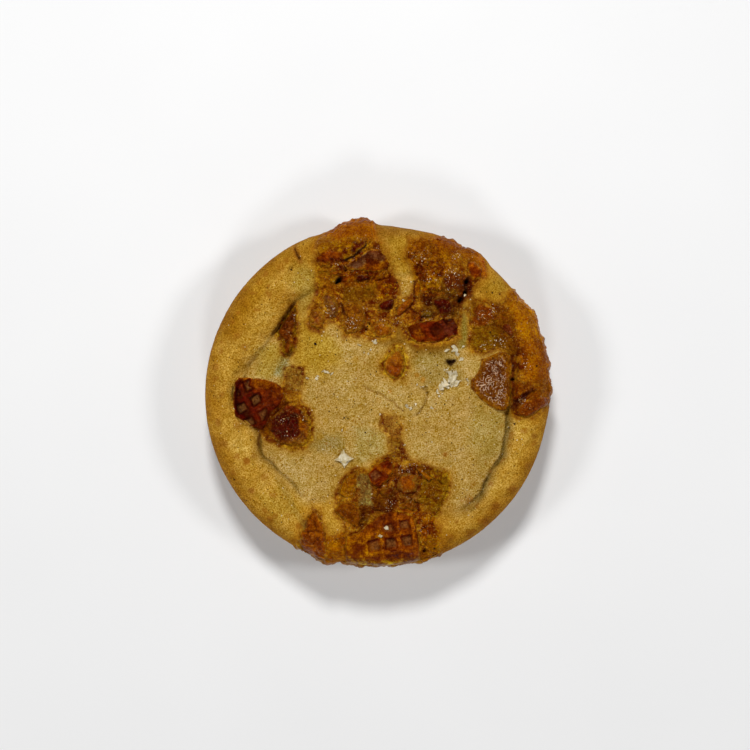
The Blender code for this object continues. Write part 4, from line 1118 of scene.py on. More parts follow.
# Where caramel filled the pits: (outline, how full).
FILLED_PITS = (
    ([(-11, -38), (-3.4, -36), (-2.6, -40.6), (-2.6, -51), (-11, -51)], 1),
    ([(-3, -45.6), (3.4, -45.4), (14, -44.6), (14, -51), (-3, -51)], 0.75),
    ([(-3, -48.2), (14, -47.6), (14, -51), (-3, -51)], 1),
    ([(-42.5, 5.5), (-40.2, 5.5), (-40.4, -7), (-42.5, -7)], 1),
    ([(-2.4, -36.6), (1.4, -36.6), (1.4, -40.6), (-2.4, -41)], 0.6),
    ([(-3, -36.8), (10, -34), (11, -35.4), (0, -38.2)], 0.8),
    ([(-36.8, 2.6), (-33.4, 0.8), (-30.5, -2.4), (-28.8, -3.6), (-25, 0), (-27, 4.6), (-36, 6.5)], 0.9),
    ([(-31.6, -4.4), (-28.4, -2.6), (-29.6, -7.6), (-31.4, -10.8), (-33, -9)], 0.7),
    ([(8, 20.6), (8.4, 16), (13.6, 15), (14.6, 18.2), (12.6, 21.4)], 0.8),
    ([(7, 23.6), (7, 14), (25.6, 14), (25.6, 23.6)], 0.45),
    ([(24, 40), (24, 31), (32, 31), (32, 40)], 0.9),
    ([(0.6, -19), (1.2, -22.4), (3, -23), (5.4, -21), (3.8, -18)], 0.6),
    ([(-9.6, 39), (-3.2, 42.8), (3, 43), (4, 35.4), (-9, 35.4)], 0.7),
)
# Colours on the pieces themselves: (outline, colour, softness, strength).
PIECE_FIELDS = (
    ([(-21.6, -3.2), (-18, -6), (-17.8, -14), (-22, -16.4), (-30, -15.4), (-29, -13.2), (-23.4, -13.2),
      (-20.8, -10.4), (-20.6, -6)], "#6D3F09", 1.2, 0.95),
    ([(-26, -3.4), (-22, -3.6), (-22, -5.6), (-25.6, -5.8)], "#561601", 0.4, 1),
    ([(-25, -6.2), (-22, -6), (-21.8, -9), (-25, -9)], "#330101", 0.4, 1),
    ([(-22, -6), (-20, -8), (-20.2, -12), (-22.4, -10)], "#814701", 1, 0.9),
    ([(-40, 5.4), (-35, 5.6), (-28, 3.6), (-26, 0.5), (-28.5, -0.5), (-32, 1.8), (-36, 2.2), (-38.5, 4)],
      "#7F4601", 1.5, 0.9),
    ([(-33.5, -3.6), (-28.5, -3.2), (-29.6, -10), (-35, -9)], "#450301", 2, 0.85),
    ([(-41.8, 3.4), (-38.5, 3.2), (-36, 1.4), (-33.6, -0.6), (-34.6, -8), (-38, -8.4), (-42, -6)],
      "#3C0201", 1.6, 0.9),
    ([(-9, -40.6), (-4, -39.6), (1, -38.6), (1.6, -46), (-9, -47.5)], "#844D01", 2, 0.8),
    ([(-9, -46.6), (0, -47.8), (12.6, -47.4), (12.6, -50), (-9, -50)], "#8C6504", 1.5, 0.9),
    ([(0, -34.6), (9, -33.6), (11, -36.6), (1, -37.4)], "#682D01", 1.5, 0.8),
    ([(18.6, 22.4), (24, 22), (24.2, 17), (18.8, 16.4)], "#451409", 1.6, 0.9),
    ([(8.6, 19.4), (12, 15), (16, 15.2), (12, 20)], "#733C01", 1.6, 0.8),
    ([(-2.5, -23), (0.4, -26.8), (4, -24), (1.4, -22)], "#5B1001", 1.2, 0.8),
    ([(-3.4, 39.2), (2.4, 38.8), (3, 41), (0.4, 42.4), (-3.4, 42)], "#5B371A", 1, 0.9),
    ([(-2.4, 35.9), (2.7, 35.6), (3, 38.4), (-2.1, 38.8)], "#773F01", 0.7, 0.95),
    ([(-3.2, 35.4), (-2.2, 35.4), (-1.9, 39), (-2.9, 39.2)], "#6B2B02", 0.6, 0.9),
    ([(-2.6, 35), (3.6, 35), (3.6, 35.9), (-2.6, 36)], "#670201", 0.6, 0.9),
    ([(30, 9), (36, 10.4), (37.4, 8), (37, 2), (36.4, -2.6), (33, -1.8), (30.4, 2), (30.2, 6)], "#512402",
      2, 0.85),
    ([(24.4, 39), (26.9, 38.6), (27.2, 33.4), (25, 32.2)], "#330201", 1, 0.85),
    ([(2.2, 8.2), (5, 8.8), (8.6, 7.8), (8.6, 4.2), (2.2, 4.2)], "#6B2701", 1.2, 0.8),
    ([(2.2, 9.4), (2.6, 13.4), (7.8, 13.4), (6.8, 9.4)], "#864A08", 1.2, 0.7),
    ([(-9.4, 37.5), (-5, 36), (-3, 38), (-3, 41.5)], "#553C24", 1.2, 0.8),
)


def on_pieces(outline, colour, melt, thin_edge):
    """Painter for a piece of one ground colour with the fields that cross it. Its border takes the crumb's
    colour over a width of melt, and a thin edge lets more light through."""

    def paint(points):
        ground = np.broadcast_to(linear(colour), points.shape)
        inside = inward(points, outline)
        depth = 0.4 * rough(points, 2.4, 111, 2) - thin_edge * eased(1.1 - inside / 1.1)
        own = steeped(painted(points, ground, PIECE_FIELDS), depth)
        joined = eased((inside - 0.1 + 0.6 * melt * rough(points, 1.4, 115, 2)) / melt)
        around, _ = top_colour(points)
        tint = lined(points, around + (own - around) * joined[:, None])
        # The cover of painted glints rides along with the piece's colours.
        return {"tint": tint, "painted_glint": painted_glint_cover(points)}

    return paint


FOLD_NETS = ((0.72, 117), (0.6, 119), (0.88, 121))  # spacing and seed of each net of skin folds
FOLD_WIDTH = 0.085


def folds_away(points, size, seed):
    """Distance in mm from each point to a net of folds, about size apart."""
    step = 0.04
    here = noise(points, size, seed)
    along = noise(points + (step, 0, 0), size, seed) - here
    across = noise(points + (0, step, 0), size, seed) - here
    return np.abs(here) / np.maximum(np.hypot(along, across) / step, 0.5)


def set_in(
    name, outline, colour, lift, reach, bumps, facets=(0.0, 2.0), spacing=0.22, melt=0.8, wrinkle=0.0,
    thin_edge=0.0, edge=0.8,
):
    """A piece that grew together with the crumb round it and rises lift over the dough within reach of its
    edge. bumps and facets are the height and size of its rounded and its broken relief, and wrinkle the
    height of a net of fine folds over its middle. Its edge is steep at 0.5 and soft at 1."""
    flat, faces, border = patch(cut_lines(outline, 0.7), spacing * (1))
    inside = inward(flat, outline)
    flat = wavered(level(*flat.T), 1.5, 101, 0.2, 2)
    where = level(*flat.T)
    around = dough_top(*flat.T) + (crumb_relief(where)[0] + CRUST_LIFT) * soaked(where)
    _, tilted, gap = broken(where, facets[1], 112)
    crown = baked_top(*flat.T) + soft_relief(*flat.T) + lift + bumps[0] * rough(where, bumps[1], 113, 3)
    crown += facets[0] * (tilted - 0.5 * np.exp(-((gap / 0.2) ** 2)))
    fold = np.zeros(len(flat))
    if wrinkle:
        bent = where + 0.3 * level(noise(where, 0.8, 116), noise(where, 0.8, 118))
        for size, seed in FOLD_NETS:
            kept = eased(0.6 + 2.0 * noise(where, 0.7, seed + 10))
            kept *= 0.65 + 0.5 * noise(where, 1.3, seed + 20)
            fold = np.maximum(fold, eased(1.5 - folds_away(bent, size, seed) / FOLD_WIDTH) * kept)
        fold *= eased((inside - 0.8) / 1.2)
        crown += wrinkle * fold
    t = 1 - np.clip(inside / reach, 0, 1)
    high = around - 0.05 + (crown - around + 0.05) * (1 - t * t) ** edge
    low = np.full(len(flat), baked_top(*np.mean(outline, axis=0)) - POCKET_DEPTH + 0.1)
    share = eased(inside / 0.5)
    for filled, how_full in FILLED_PITS:
        share = share * (1 - how_full * eased(inward(flat, filled) / 1.0 + 0.5))
    paint = on_pieces(outline, colour, melt, thin_edge)
    return slab_mesh(name + "_piece", flat, faces, border, high, low, paint, crown=share, fold=fold)


def new_tree(name, **kinds):
    """A geometry node tree with inputs of the given kinds, and what its input node gives."""
    tree = bpy.data.node_groups.new(name, "GeometryNodeTree")
    for kind, labels in {"Geometry": ["Geometry"], **kinds, "Material": ["Material"]}.items():
        for label in labels:
            tree.interface.new_socket(label, in_out="INPUT", socket_type="NodeSocket" + kind)
    tree.interface.new_socket("Geometry", in_out="OUTPUT", socket_type="NodeSocketGeometry")
    return tree, add(tree, "NodeGroupInput").outputs


def marked(tree, geometry, name, value):
    """The geometry with a number stored on its points."""
    put = {"Geometry": geometry, "Name": name, "Value": value}
    stored = add(tree, "GeometryNodeStoreNamedAttribute", put, data_type="FLOAT", domain="POINT")
    return stored.outputs[0]


def carried(tree, name, kind="FLOAT"):
    """A value that the points carry."""
    return add(tree, "GeometryNodeInputNamedAttribute", {"Name": name}, data_type=kind).outputs[0]


def moved_by(tree, geometry, offset):
    """The geometry with its points moved."""
    return add(tree, "GeometryNodeSetPosition", {"Geometry": geometry, "Offset": offset}).outputs[0]


def realized(tree, geometry):
    """The geometry with its instances made real."""
    return add(tree, "GeometryNodeRealizeInstances", {0: geometry}).outputs[0]


def coated(tree, geometry, material):
    """Ends a tree: the geometry takes its material and goes out."""
    last = add(tree, "GeometryNodeSetMaterial", {"Geometry": geometry, "Material": material})
    add(tree, "NodeGroupOutput", {0: last.outputs[0]})
    return tree


def pressed_rows():
    """Geometry nodes that press square pits in rows into the crown of a waffle piece."""
    floats = ("Pitch", "Pit Width", "Pit Floor", "Pit Depth", "Pooling", "Turn")
    tree, given = new_tree("pressed_waffle_rows", Float=floats, Vector=["Pit Centre"])
    where = add(tree, "GeometryNodeInputPosition").outputs[0]
    half = (0.5, 0.5, 0.5)
    # The iron's rows are never quite straight in a broken piece, so the place wanders by 0.3 mm.
    moved = vectors(tree, "ADD", where, swayed(tree, where, 1 / (4.0 * MM), 1.4 * MM))
    turn = {
        "Vector": vectors(tree, "SUBTRACT", moved, given["Pit Centre"]),
        "Angle": maths(tree, "MULTIPLY", given["Turn"], -1.0),
    }
    turned = add(tree, "ShaderNodeVectorRotate", turn, rotation_type="Z_AXIS").outputs[0]
    rows = vectors(tree, "SCALE", turned, maths(tree, "DIVIDE", 1.0, given["Pitch"]))
    part = vectors(tree, "FRACTION", vectors(tree, "ADD", rows, half))
    even = vectors(tree, "SUBTRACT", part, half)
    apart = add(tree, "ShaderNodeSeparateXYZ", {0: vectors(tree, "ABSOLUTE", even)}).outputs
    reach = maths(tree, "MULTIPLY", maths(tree, "MAXIMUM", apart[0], apart[1]), given["Pitch"])
    wide = maths(tree, "MULTIPLY", given["Pit Width"], 0.5)
    floor = maths(tree, "MULTIPLY", given["Pit Floor"], 0.5)
    depth = ranged(tree, reach, wide, floor, 0.0, 1.0, interpolation_type="SMOOTHSTEP")
    pressed = maths(tree, "MULTIPLY", depth, carried(tree, "crown"))
    down = maths(tree, "MULTIPLY", maths(tree, "MULTIPLY", pressed, given["Pit Depth"]), -1.0)
    # One side of each pit, widened round it by the given reach, is marked for painted shade on its walls.
    across = add(tree, "ShaderNodeSeparateXYZ", {0: even}).outputs[1]
    shaped = marked(tree, given["Geometry"], "pit", pressed)
    shaped = marked(tree, shaped, "far_side", maths(tree, "ADD", across, given["Pooling"]))
    shaped = moved_by(tree, shaped, add(tree, "ShaderNodeCombineXYZ", {2: down}).outputs[0])
    return coated(tree, realized(tree, shaped), given["Material"])


def through_nodes(thing, tree, **inputs):
    """Runs a node tree on an object with the given inputs and keeps the result as a plain mesh."""
    maker = thing.modifiers.new("maker", "NODES")
    maker.node_group = tree
    for socket in tree.interface.items_tree:
        key = socket.name.lower().replace(" ", "_")
        if socket.in_out == "INPUT" and key in inputs:
            maker[socket.identifier] = inputs[key]
    bpy.context.view_layer.update()
    result = bpy.data.meshes.new_from_object(thing.evaluated_get(bpy.context.evaluated_depsgraph_get()))
    thing.modifiers.remove(maker)
    thing.data = result
    result.name = thing.name
    return thing


def soaked_waffle():
    """Thin crisp waffle soaked with caramel: a glossy coat over a red-brown crumb, dull in the pits, with a
    painted highlight on the ribs' crests and painted shade on one side of the pits' walls.
    """
    made, tree, shader, where = new_material("caramel_soaked_waffle")
    tint, pit = attribute(tree, "tint", "Color"), attribute(tree, "pit")
    # The ribs' crests are drawn lighter than the rest, a painted highlight, in random patches.
    scraped = blend(tree, noise_of(tree, where, 1.5, 2.0), (0.8, 0.62, 0.7), (1.3, 1.5, 1.2))
    crest_highlight = blend(tree, ranged(tree, pit, 0.0, 0.12, 0.0, 1.0), scraped, (0.85, 0.72, 0.7))
    rib = veined(tree, where, vectors(tree, "MULTIPLY", tint, crest_highlight), 2.4, 0.9, 0.7, 0.1)
    # The syrup stands deeper on the pits' walls, and one side of each pit is darker still: painted shade.
    # The floors are a dull grey-brown, crystallised syrup with a painted sheen.
    wall = ranged(tree, pit, 0.0, 0.3, 0.0, 0.95)
    pooled_and_shaded = ranged(tree, attribute(tree, "far_side"), 0.1, 0.28, 0.25, 1.0)
    deep = vectors(tree, "MULTIPLY", rib, (0.62, 0.16, 0.12))
    walled = blend(tree, maths(tree, "MULTIPLY", wall, pooled_and_shaded), rib, deep)
    crystal, blotch = noise_of(tree, where, 0.4, 1.0), noise_of(tree, where, 1.3, 3.0)
    floor = blend(tree, crystal, "#3C1E08", "#805428")
    colour = blend(tree, ranged(tree, pit, 0.6, 1.0, 0.0, 0.62), walled, floor)
    wet_coat(tree, shader, where, 0.03)
    dress(tree, shader, colour, 0.34, 0.25, CARAMEL_SHEEN, (crystal, 0.5, 0.12), (blotch, 0.6, 0.35))
    return made


waffle_finish = soaked_waffle()
press = pressed_rows()
WAFFLE_MELT = {"waffle_upper_right": 0.9}  # over what width its border takes the crumb's colour
for name, outline in WAFFLES.items():
    turn, (pit_x, pit_y), lift, pit_floor, pooling, colour = WAFFLE_ROWS[name]
    melt = WAFFLE_MELT.get(name, 0.3)
    piece = set_in(name, outline, colour, lift, 0.8, (0.16, 2.2), spacing=0.17, melt=melt)
    through_nodes(
        piece, press, pitch=WAFFLE_PITCH * MM, pit_width=PIT_WIDTH * MM, pit_floor=pit_floor * MM,
        pit_depth=PIT_DEPTH * MM, pooling=pooling, turn=math.radians(turn),
        pit_centre=(pit_x * MM, pit_y * MM, 0.0), material=waffle_finish,
    )
    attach(piece, "root")
    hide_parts(name)
    laid.append(piece)


# ---- Flat shards ----
# Splinters of waffle and sheets of set caramel that lie flat in the top. They broke with sharp
# edges, which have rounded a little in the oven, and their upper face is crackled and shiny.
SHARD_COLOURS = {
    "shard_top": "#450801", "plate_right": "#704002", "tongue_right": "#632A01", "shard_right": "#531E06",
    "stick_top": "#763B03", "strip_top": "#743C01", "flake_front": "#794601", "flake_front_low": "#633001",
    "shard_front": "#794001", "shard_front_low": "#6E3B01",
}


def set_caramel(name, wrinkle, height, roughness, coat=0.05, calm=0.0):
    """Caramel set after baking: deep amber, glossy, with a wrinkled skin whose ridges catch the light.
    wrinkle is their spacing in mm and height how far they stand. The sharpest folds carry a pale painted
    highlight, and pale spots paint the glints."""
    made, tree, shader, where = new_material(name)
    body = veined(tree, where, attribute(tree, "tint", "Color"), 1.8, 0.7, 0.55, calm)
    body = spotted(tree, where, body, BURNT_CARAMEL, 3.2, 0.7, 0.5 - 0.6 * calm, 0.8)
    # Painted highlight: the sharpest folds are drawn pale.
    fold_highlight = ranged(tree, attribute(tree, "fold"), 0.2, 0.8, 0.0, 0.9)
    colour = blend(tree, fold_highlight, sugar_and_painted_glints(tree, where, body), "#D8B898")
    wet_coat(tree, shader, where, coat)
    put = {"Vector": where, "Scale": 0.7 / (wrinkle * MM), "Detail": 2.0, "Roughness": 0.6, "Distortion": 0.6}
    ridges = add(tree, "ShaderNodeTexNoise", put).outputs["Fac"]
    sharp = maths(tree, "ABSOLUTE", ranged(tree, ridges, 0.35, 0.5, -1.0, 0.0))
    slow = noise_of(tree, where, 1.4, 3.0)
    dress(tree, shader, colour, roughness, 0.25, CARAMEL_SHEEN, (sharp, 0.8, height), (slow, 0.7, 0.4))
    return made


sheet_finish = set_caramel("crackled_caramel_sheet", 0.9, 0.2, 0.32, 0.06, 0.4)
shard_finish = set_caramel("set_caramel_shard", 0.8, 0.22, 0.3, 0.04, 0.55)
# How far each stands over the dough, how wide its edge is, its relief and its edge's look.
SPLINTER = dict(
    lift=0.9, reach=0.9, bumps=(0.25, 1.6), facets=(0.3, 2.4), spacing=0.16, melt=0.3, thin_edge=0.7,
)
SHEETS = {
    "plate_right": dict(
        lift=0.6, reach=0.7, bumps=(0.16, 1.4), spacing=0.08, melt=0.2, wrinkle=0.12, thin_edge=0.8, edge=0.7,
    ),
    "shard_top": dict(lift=0.6, reach=1.6, bumps=(0.3, 1.8), facets=(0.4, 2.4), melt=2.4),
}
for name, outline in SHARDS.items():
    piece = set_in(name, outline, SHARD_COLOURS[name], **SHEETS.get(name, SPLINTER))
    piece.data.materials.append(sheet_finish if name == "plate_right" else shard_finish)
    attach(piece, "root")
    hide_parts(name)
    laid.append(piece)


# ---- Caramel clusters ----
# Lumps of chopped waffle that melted together with caramel: dark and glossy inside, with a ring of
# golden crumb where they meet the dough.
CLUSTER_COLOURS = {"caramel_fold_left": "#4F1F01", "crumb_left": "#3A0301", "chunk_rim_left": "#763901"}
cluster_finish = set_caramel("melted_caramel_crumb", 0.9, 0.25, 0.3, 0.04, 0.3)
for name, outline in CARAMELS.items():
    piece = set_in(name, outline, CLUSTER_COLOURS[name], 0.6, 1.2, (0.3, 1.6), (0.6, 3.6), edge=0.7)
    piece.data.materials.append(cluster_finish)
    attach(piece, "root")
    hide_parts(name)
    laid.append(piece)


# ---- Caramel lumps ----
# Rounded knobs of waffle and caramel that rose out of the top and browned. The dark ones took up the
# most caramel and keep a crisp border, the others melted into the crumb.
LUMP_COLOURS = {
    "lump_top_left": "#672E06", "lump_top_second": "#562E19", "lump_top_round": "#703E03",
    "lump_top_low": "#8A4A04", "lump_top_red": "#390101", "lump_top_dark": "#380101",
    "lump_upper_right": "#501E02", "lump_upper_dark": "#380101", "lump_upper_small": "#674908",
    "lump_right": "#6E3102", "chunk_middle": "#915304", "nugget_front": "#7B3C01",
    "nugget_front_dark": "#4C0A01",
}
MELT = {"lump_top_red": 0.5, "lump_top_dark": 0.5, "lump_upper_dark": 0.5, "chunk_middle": 0.8}
lump_finish = set_caramel("browned_caramel_knob", 0.7, 0.22, 0.3, 0.05, 0.5)
for name, outline in LUMPS.items():
    melt = MELT.get(name, 1.5)  # over what width its border takes the crumb's colour
    piece = set_in(name, outline, LUMP_COLOURS[name], 1.3, 2.4, (0.35, 1.8), (0.3, 2.6), melt=melt)
    piece.data.materials.append(lump_finish)
    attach(piece, "root")
    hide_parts(name)
    laid.append(piece)


# ---- Loose crumbs ----
# Bits of chopped waffle, 0.5 to 1.5 mm, that lie half sunk in the soaked crumb. Each has its own tone,
# by how much caramel it took up.
CRUMB_SIZES = (0.24, 0.62)  # half their width
CRUMB_GAP = 1.25
CRUMBS_PER_MM2 = 0.3


def strewn_bits():
    """Geometry nodes that strew rounded bits over a surface, denser where its attribute bits is high."""
    floats = ("Least Size", "Most Size", "Gap", "Density", "Sink", "Ragged")
    tree, given = new_tree("strewn_bits", Float=floats, Int=["Detail", "Seed"])

    def drawn(kind, low, high, seed):
        first, output = {"FLOAT_VECTOR": (0, 0), "FLOAT": (2, 1)}[kind]
        put = {first: low, first + 1: high, "Seed": seed}
        return add(tree, "FunctionNodeRandomValue", put, data_type=kind).outputs[output]

    normal = add(tree, "ShaderNodeSeparateXYZ", {0: add(tree, "GeometryNodeInputNormal").outputs[0]})
    put = {0: normal.outputs[2], 1: 0.35}
    upward = add(tree, "FunctionNodeCompare", put, data_type="FLOAT", operation="GREATER_THAN")
    put = {
        "Mesh": given["Geometry"], "Selection": upward.outputs[0], "Distance Min": given["Gap"],
        "Density Max": given["Density"], "Density Factor": carried(tree, "bits"), "Seed": given["Seed"],
    }
    strewn = add(tree, "GeometryNodeDistributePointsOnFaces", put, distribute_method="POISSON")
    bit = add(tree, "GeometryNodeMeshIcoSphere", {"Radius": 1.0, "Subdivisions": given["Detail"]})
    form = drawn("FLOAT_VECTOR", (0.7, 0.7, 0.5), (1.3, 1.1, 1.0), 9)
    put = {
        "Points": marked(tree, strewn.outputs["Points"], "tone", drawn("FLOAT", 0.0, 1.0, 3)),
        "Instance": bit.outputs[0],
        "Rotation": drawn("FLOAT_VECTOR", (0.0, 0.0, 0.0), (6.28, 6.28, 6.28), 5),
        "Scale": vectors(tree, "SCALE", form, drawn("FLOAT", given["Least Size"], given["Most Size"], 7)),
    }
    whole = realized(tree, add(tree, "GeometryNodeInstanceOnPoints", put).outputs[0])
    # Each bit is broken out of line, and sunk a little.
    where = add(tree, "GeometryNodeInputPosition").outputs[0]
    sink = add(tree, "ShaderNodeCombineXYZ", {2: maths(tree, "MULTIPLY", given["Sink"], -1.0)}).outputs[0]
    moved = vectors(tree, "ADD", swayed(tree, where, 1 / (0.7 * MM), given["Ragged"]), sink)
    return coated(tree, moved_by(tree, whole, moved), given["Material"])


def crumb_of_waffle():
    """Chopped waffle soaked with caramel: from pale gold to deep red-brown, with a glossy skin."""
    made, tree, shader, where = new_material("chopped_waffle_crumb")
    law = blend(tree, attribute(tree, "tone"), (0.75, 0.52, 0.45), (1.3, 1.4, 1.5))
    own = vectors(tree, "MULTIPLY", attribute(tree, "tint", "Color"), law)
    wet_coat(tree, shader, where, 0.04)
    colour = veined(tree, where, own, 1.6, 0.7, 0.5, 0.4)
    dress(tree, shader, colour, 0.34, 0.25, CARAMEL_SHEEN, (noise_of(tree, where, 0.4), 0.7, 0.15))
    return made


def copied(name, sources):
    """One object with copies of other pieces' meshes, to strew bits on."""
    made = bpy.data.objects.new(name, bpy.data.meshes.new(name))
    bpy.context.scene.collection.objects.link(made)
    join = bmesh.new()
    for source in sources:
        join.from_mesh(source.data)
    join.to_mesh(made.data)
    join.free()
    return made


strew = strewn_bits()
crumb_finish = crumb_of_waffle()
crumbs = through_nodes(
    copied("caramel_crumbs", crusts), strew, least_size=CRUMB_SIZES[0] * MM, most_size=CRUMB_SIZES[1] * MM,
    gap=CRUMB_GAP * MM, density=CRUMBS_PER_MM2 / MM**2, sink=0.2 * MM, ragged=0.6 * MM, detail=2, seed=4,
    material=crumb_finish,
)
crumbs.data.shade_smooth()
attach(crumbs, "root")


# ---- Sugar grains ----
# Coarse sugar that didn't melt, 0.3 to 0.7 mm. The grains stand in the skin of the plain dough and
# gather in loose drifts.
GRAIN_SIZES = (0.16, 0.3)  # half their width
GRAIN_GAP = 1.2
GRAINS_PER_MM2 = 0.09


def clouded(name, size, detail, low, high, roughness, specular, sheen):
    """A crystal or a speck, clouded between two colours with lumps of a size in mm."""
    made, tree, shader, where = new_material(name)
    body = blend(tree, noise_of(tree, where, size, detail), low, high)
    dress(tree, shader, body, roughness, specular, sheen)
    return made


# Sugar crystals: translucent and pale, with bright facets.
sugar = clouded("sugar_crystal", 0.6, 2.0, "#B89C5C", "#D8CBA6", 0.4, 0.2, "#FFE0A8")
grains = through_nodes(
    copied("sugar_grains", [dough]), strew, least_size=GRAIN_SIZES[0] * MM, most_size=GRAIN_SIZES[1] * MM,
    gap=GRAIN_GAP * MM, density=GRAINS_PER_MM2 / MM**2, sink=0.08 * MM, ragged=0.1 * MM, detail=1, seed=8,
    material=sugar,
)
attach(grains, "root")


# ---- Salt flakes and burnt specks ----
# Flakes of sea salt were dropped on the dough before it was baked: thin crisp plates 1 to 3 mm wide.
# The specks are burnt caramel and vanilla.
# Drifts of salt: (x, y, spread along x and y, number of flakes, their width).
SALT = (
    (22, 5, 1.2, 2, 16, 3.4), (20.2, 2.4, 1.8, 1.1, 9, 2.6), (21, 7.4, 1, 0.8, 5, 1.3),
    (18.4, 1, 1, 1.3, 6, 1.1), (26.5, 3.2, 0.15, 2.2, 7, 0.8), (22.8, 12.4, 2.6, 1.6, 12, 1.7),
    (-17, 5.4, 0.5, 0.5, 3, 1), (-14, 6.6, 1.3, 0.5, 5, 1.2), (-5, 14.4, 0.4, 0.3, 3, 0.9),
    (-0.3, 15.6, 0.8, 0.7, 5, 1.1), (-11.2, 17, 0.4, 0.3, 2, 0.8), (9.6, -3.6, 0.6, 0.6, 4, 1.7),
    (1, -5.6, 0.4, 0.3, 2, 0.8), (16, -4, 0.5, 0.4, 3, 1), (11.5, -2.4, 0.4, 0.3, 2, 0.8),
    (-10.2, -10.6, 0.4, 0.3, 2, 0.8), (8.2, -14.5, 0.3, 0.3, 2, 0.8), (-20, 5, 0.3, 0.3, 2, 0.7),
    (1.2, -40.4, 0.5, 0.6, 4, 1.7), (2.6, -38.4, 0.5, 0.6, 3, 1.5), (36.2, -17.5, 0.2, 0.2, 1, 0.8),
    (7.8, 27.2, 0.4, 0.3, 3, 0.9), (25.5, 28.5, 0.4, 0.5, 3, 0.8), (-7, 21.2, 1.2, 0.5, 4, 0.6),
    (12.6, 2, 1.5, 1, 3, 0.7), (-3, 12.4, 2.4, 1, 3, 0.7), (30.2, 14, 0.8, 0.8, 2, 0.7),
)
# The large star at the front left is a broken crust of three flakes: (turn in degrees, length, width).
STAR_AT = (-9.3, -18.5)
STAR = ((8, 5.8, 2.3), (94, 5.2, 2.3), (8, 4.2, 3.9))
STAR_THICKNESS = 0.22
STAR_TILT = 0.06  # in radians
# Specks: (x, y, width).
SPECKS = (
    (-17.6, 14.7, 0.9), (0, 6.7, 0.5), (-1.6, 5.9, 0.5), (15.7, 6.2, 0.5), (-3.2, -10.9, 0.5),
    (-9.3, -6.7, 0.5), (-8.2, -6.9, 0.4), (-13.6, -4.8, 0.4), (-1.4, -4.3, 0.4), (19.8, -2.8, 0.5),
    (14.3, -10.9, 0.5), (-11.3, 18.7, 0.5), (-28, 19, 0.7), (-1.8, 20.4, 0.8), (-2.5, 19.8, 0.6),
    (6, 32.5, 0.6), (40, -8.4, 1.1), (38.5, -9.5, 0.7), (35.6, 29, 0.8), (33.4, 29.3, 0.7), (33, 18, 0.8),
    (21.2, 21.7, 0.9), (46.1, 8.3, 0.6), (-24.6, 36.1, 1), (-41, -24.4, 0.5), (-37.5, -30.6, 0.5),
    (-21, 43.4, 0.4), (16.8, -44.2, 0.8), (-9, -15.6, 0.4), (24.8, -24.4, 0.4),
)


def laid_bits():
    """Geometry nodes that set a thin broken plate on each given point, by the point's size and turn."""
    tree, given = new_tree("laid_bits", Int=["Sides"], Float=["Ragged"])
    plate = add(tree, "GeometryNodeMeshCylinder", {"Vertices": given["Sides"], "Radius": 0.5, "Depth": 1.0})
    put = {
        "Points": given["Geometry"], "Instance": plate.outputs[0],
        "Rotation": carried(tree, "turn", "FLOAT_VECTOR"), "Scale": carried(tree, "size", "FLOAT_VECTOR"),
    }
    whole = realized(tree, add(tree, "GeometryNodeInstanceOnPoints", put).outputs[0])
    where = add(tree, "GeometryNodeInputPosition").outputs[0]
    shaped = moved_by(tree, whole, swayed(tree, where, 1 / (1.2 * MM), given["Ragged"]))
    return coated(tree, shaped, given["Material"])


HIGH_UP = 0.05  # over every piece, in metres


def resting(places):
    """Height in mm where each (x, y) in mm meets the topmost piece."""
    graph = bpy.context.evaluated_depsgraph_get()
    trees = [BVHTree.FromObject(piece, graph) for piece in laid]
    heights = []
    for x, y in places:
        hits = [tree.ray_cast((x * MM, y * MM, HIGH_UP), (0, 0, -1))[0] for tree in trees]
        heights.append(max(hit.z for hit in hits if hit) / MM)
    return np.array(heights)


def points_with(name, points, size, turn):
    """Loose points in mm that carry a size in mm and a turn in radians, for the tree laid_bits."""
    mesh = bpy.data.meshes.new(name)
    mesh.from_pydata((points * MM).tolist(), [], [])
    for key, values in (("size", size * MM), ("turn", turn)):
        held = mesh.attributes.new(key, "FLOAT_VECTOR", "POINT")
        held.data.foreach_set("vector", values.astype(np.float32).ravel())
    made = bpy.data.objects.new(name, mesh)
    bpy.context.scene.collection.objects.link(made)
    return made


# Sea salt: clear hollow flakes, white where they overlap, with a bright glint on their flat faces.
salt_finish = clouded("sea_salt_flake", 0.7, 3.0, "#A8925C", "#E4DAC0", 0.3, 0.3, "#FFE8C0")
# Burnt caramel and vanilla: nearly black, with a dull shine.
burnt_finish = clouded("burnt_speck", 0.6, 2.0, "#120804", "#341808", 0.7, 0.08, "#FFFFFF")

lay = laid_bits()
draw = np.random.default_rng(21)
SPREAD, TILT, FULL_TURN = 0.55, 0.35, 6.28  # the tilt and turn are in radians
THIN, THICK = 0.14, 0.26
flakes = []
for x, y, wide, long, count, size in SALT:
    for _ in range(count):
        across = size * draw.uniform(0.45, 1.1)
        place = (x + wide * draw.normal(0, SPREAD), y + long * draw.normal(0, SPREAD))
        shape = (across, across * draw.uniform(0.3, 0.75), draw.uniform(THIN, THICK))
        lie = (draw.normal(0, TILT), draw.normal(0, TILT), draw.uniform(0, FULL_TURN))
        flakes.append((*place, *shape, *lie))
for turn, long, wide in STAR:
    tilt = (draw.normal(0, STAR_TILT), draw.normal(0, STAR_TILT))
    flakes.append((*STAR_AT, long, wide, STAR_THICKNESS, *tilt, math.radians(turn)))
flakes = np.array(flakes)
rest = resting(flakes[:, :2]) + 0.1 + 0.12 * flakes[:, 2] * draw.uniform(0, 1, len(flakes))
salt = through_nodes(
    points_with("salt_flakes", np.column_stack([flakes[:, :2], rest]), flakes[:, 2:5], flakes[:, 5:]), lay,
    sides=4, ragged=1.3 * MM, material=salt_finish,
)
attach(salt, "root")
SPECK_REACH = 46  # how far out the scattered specks lie
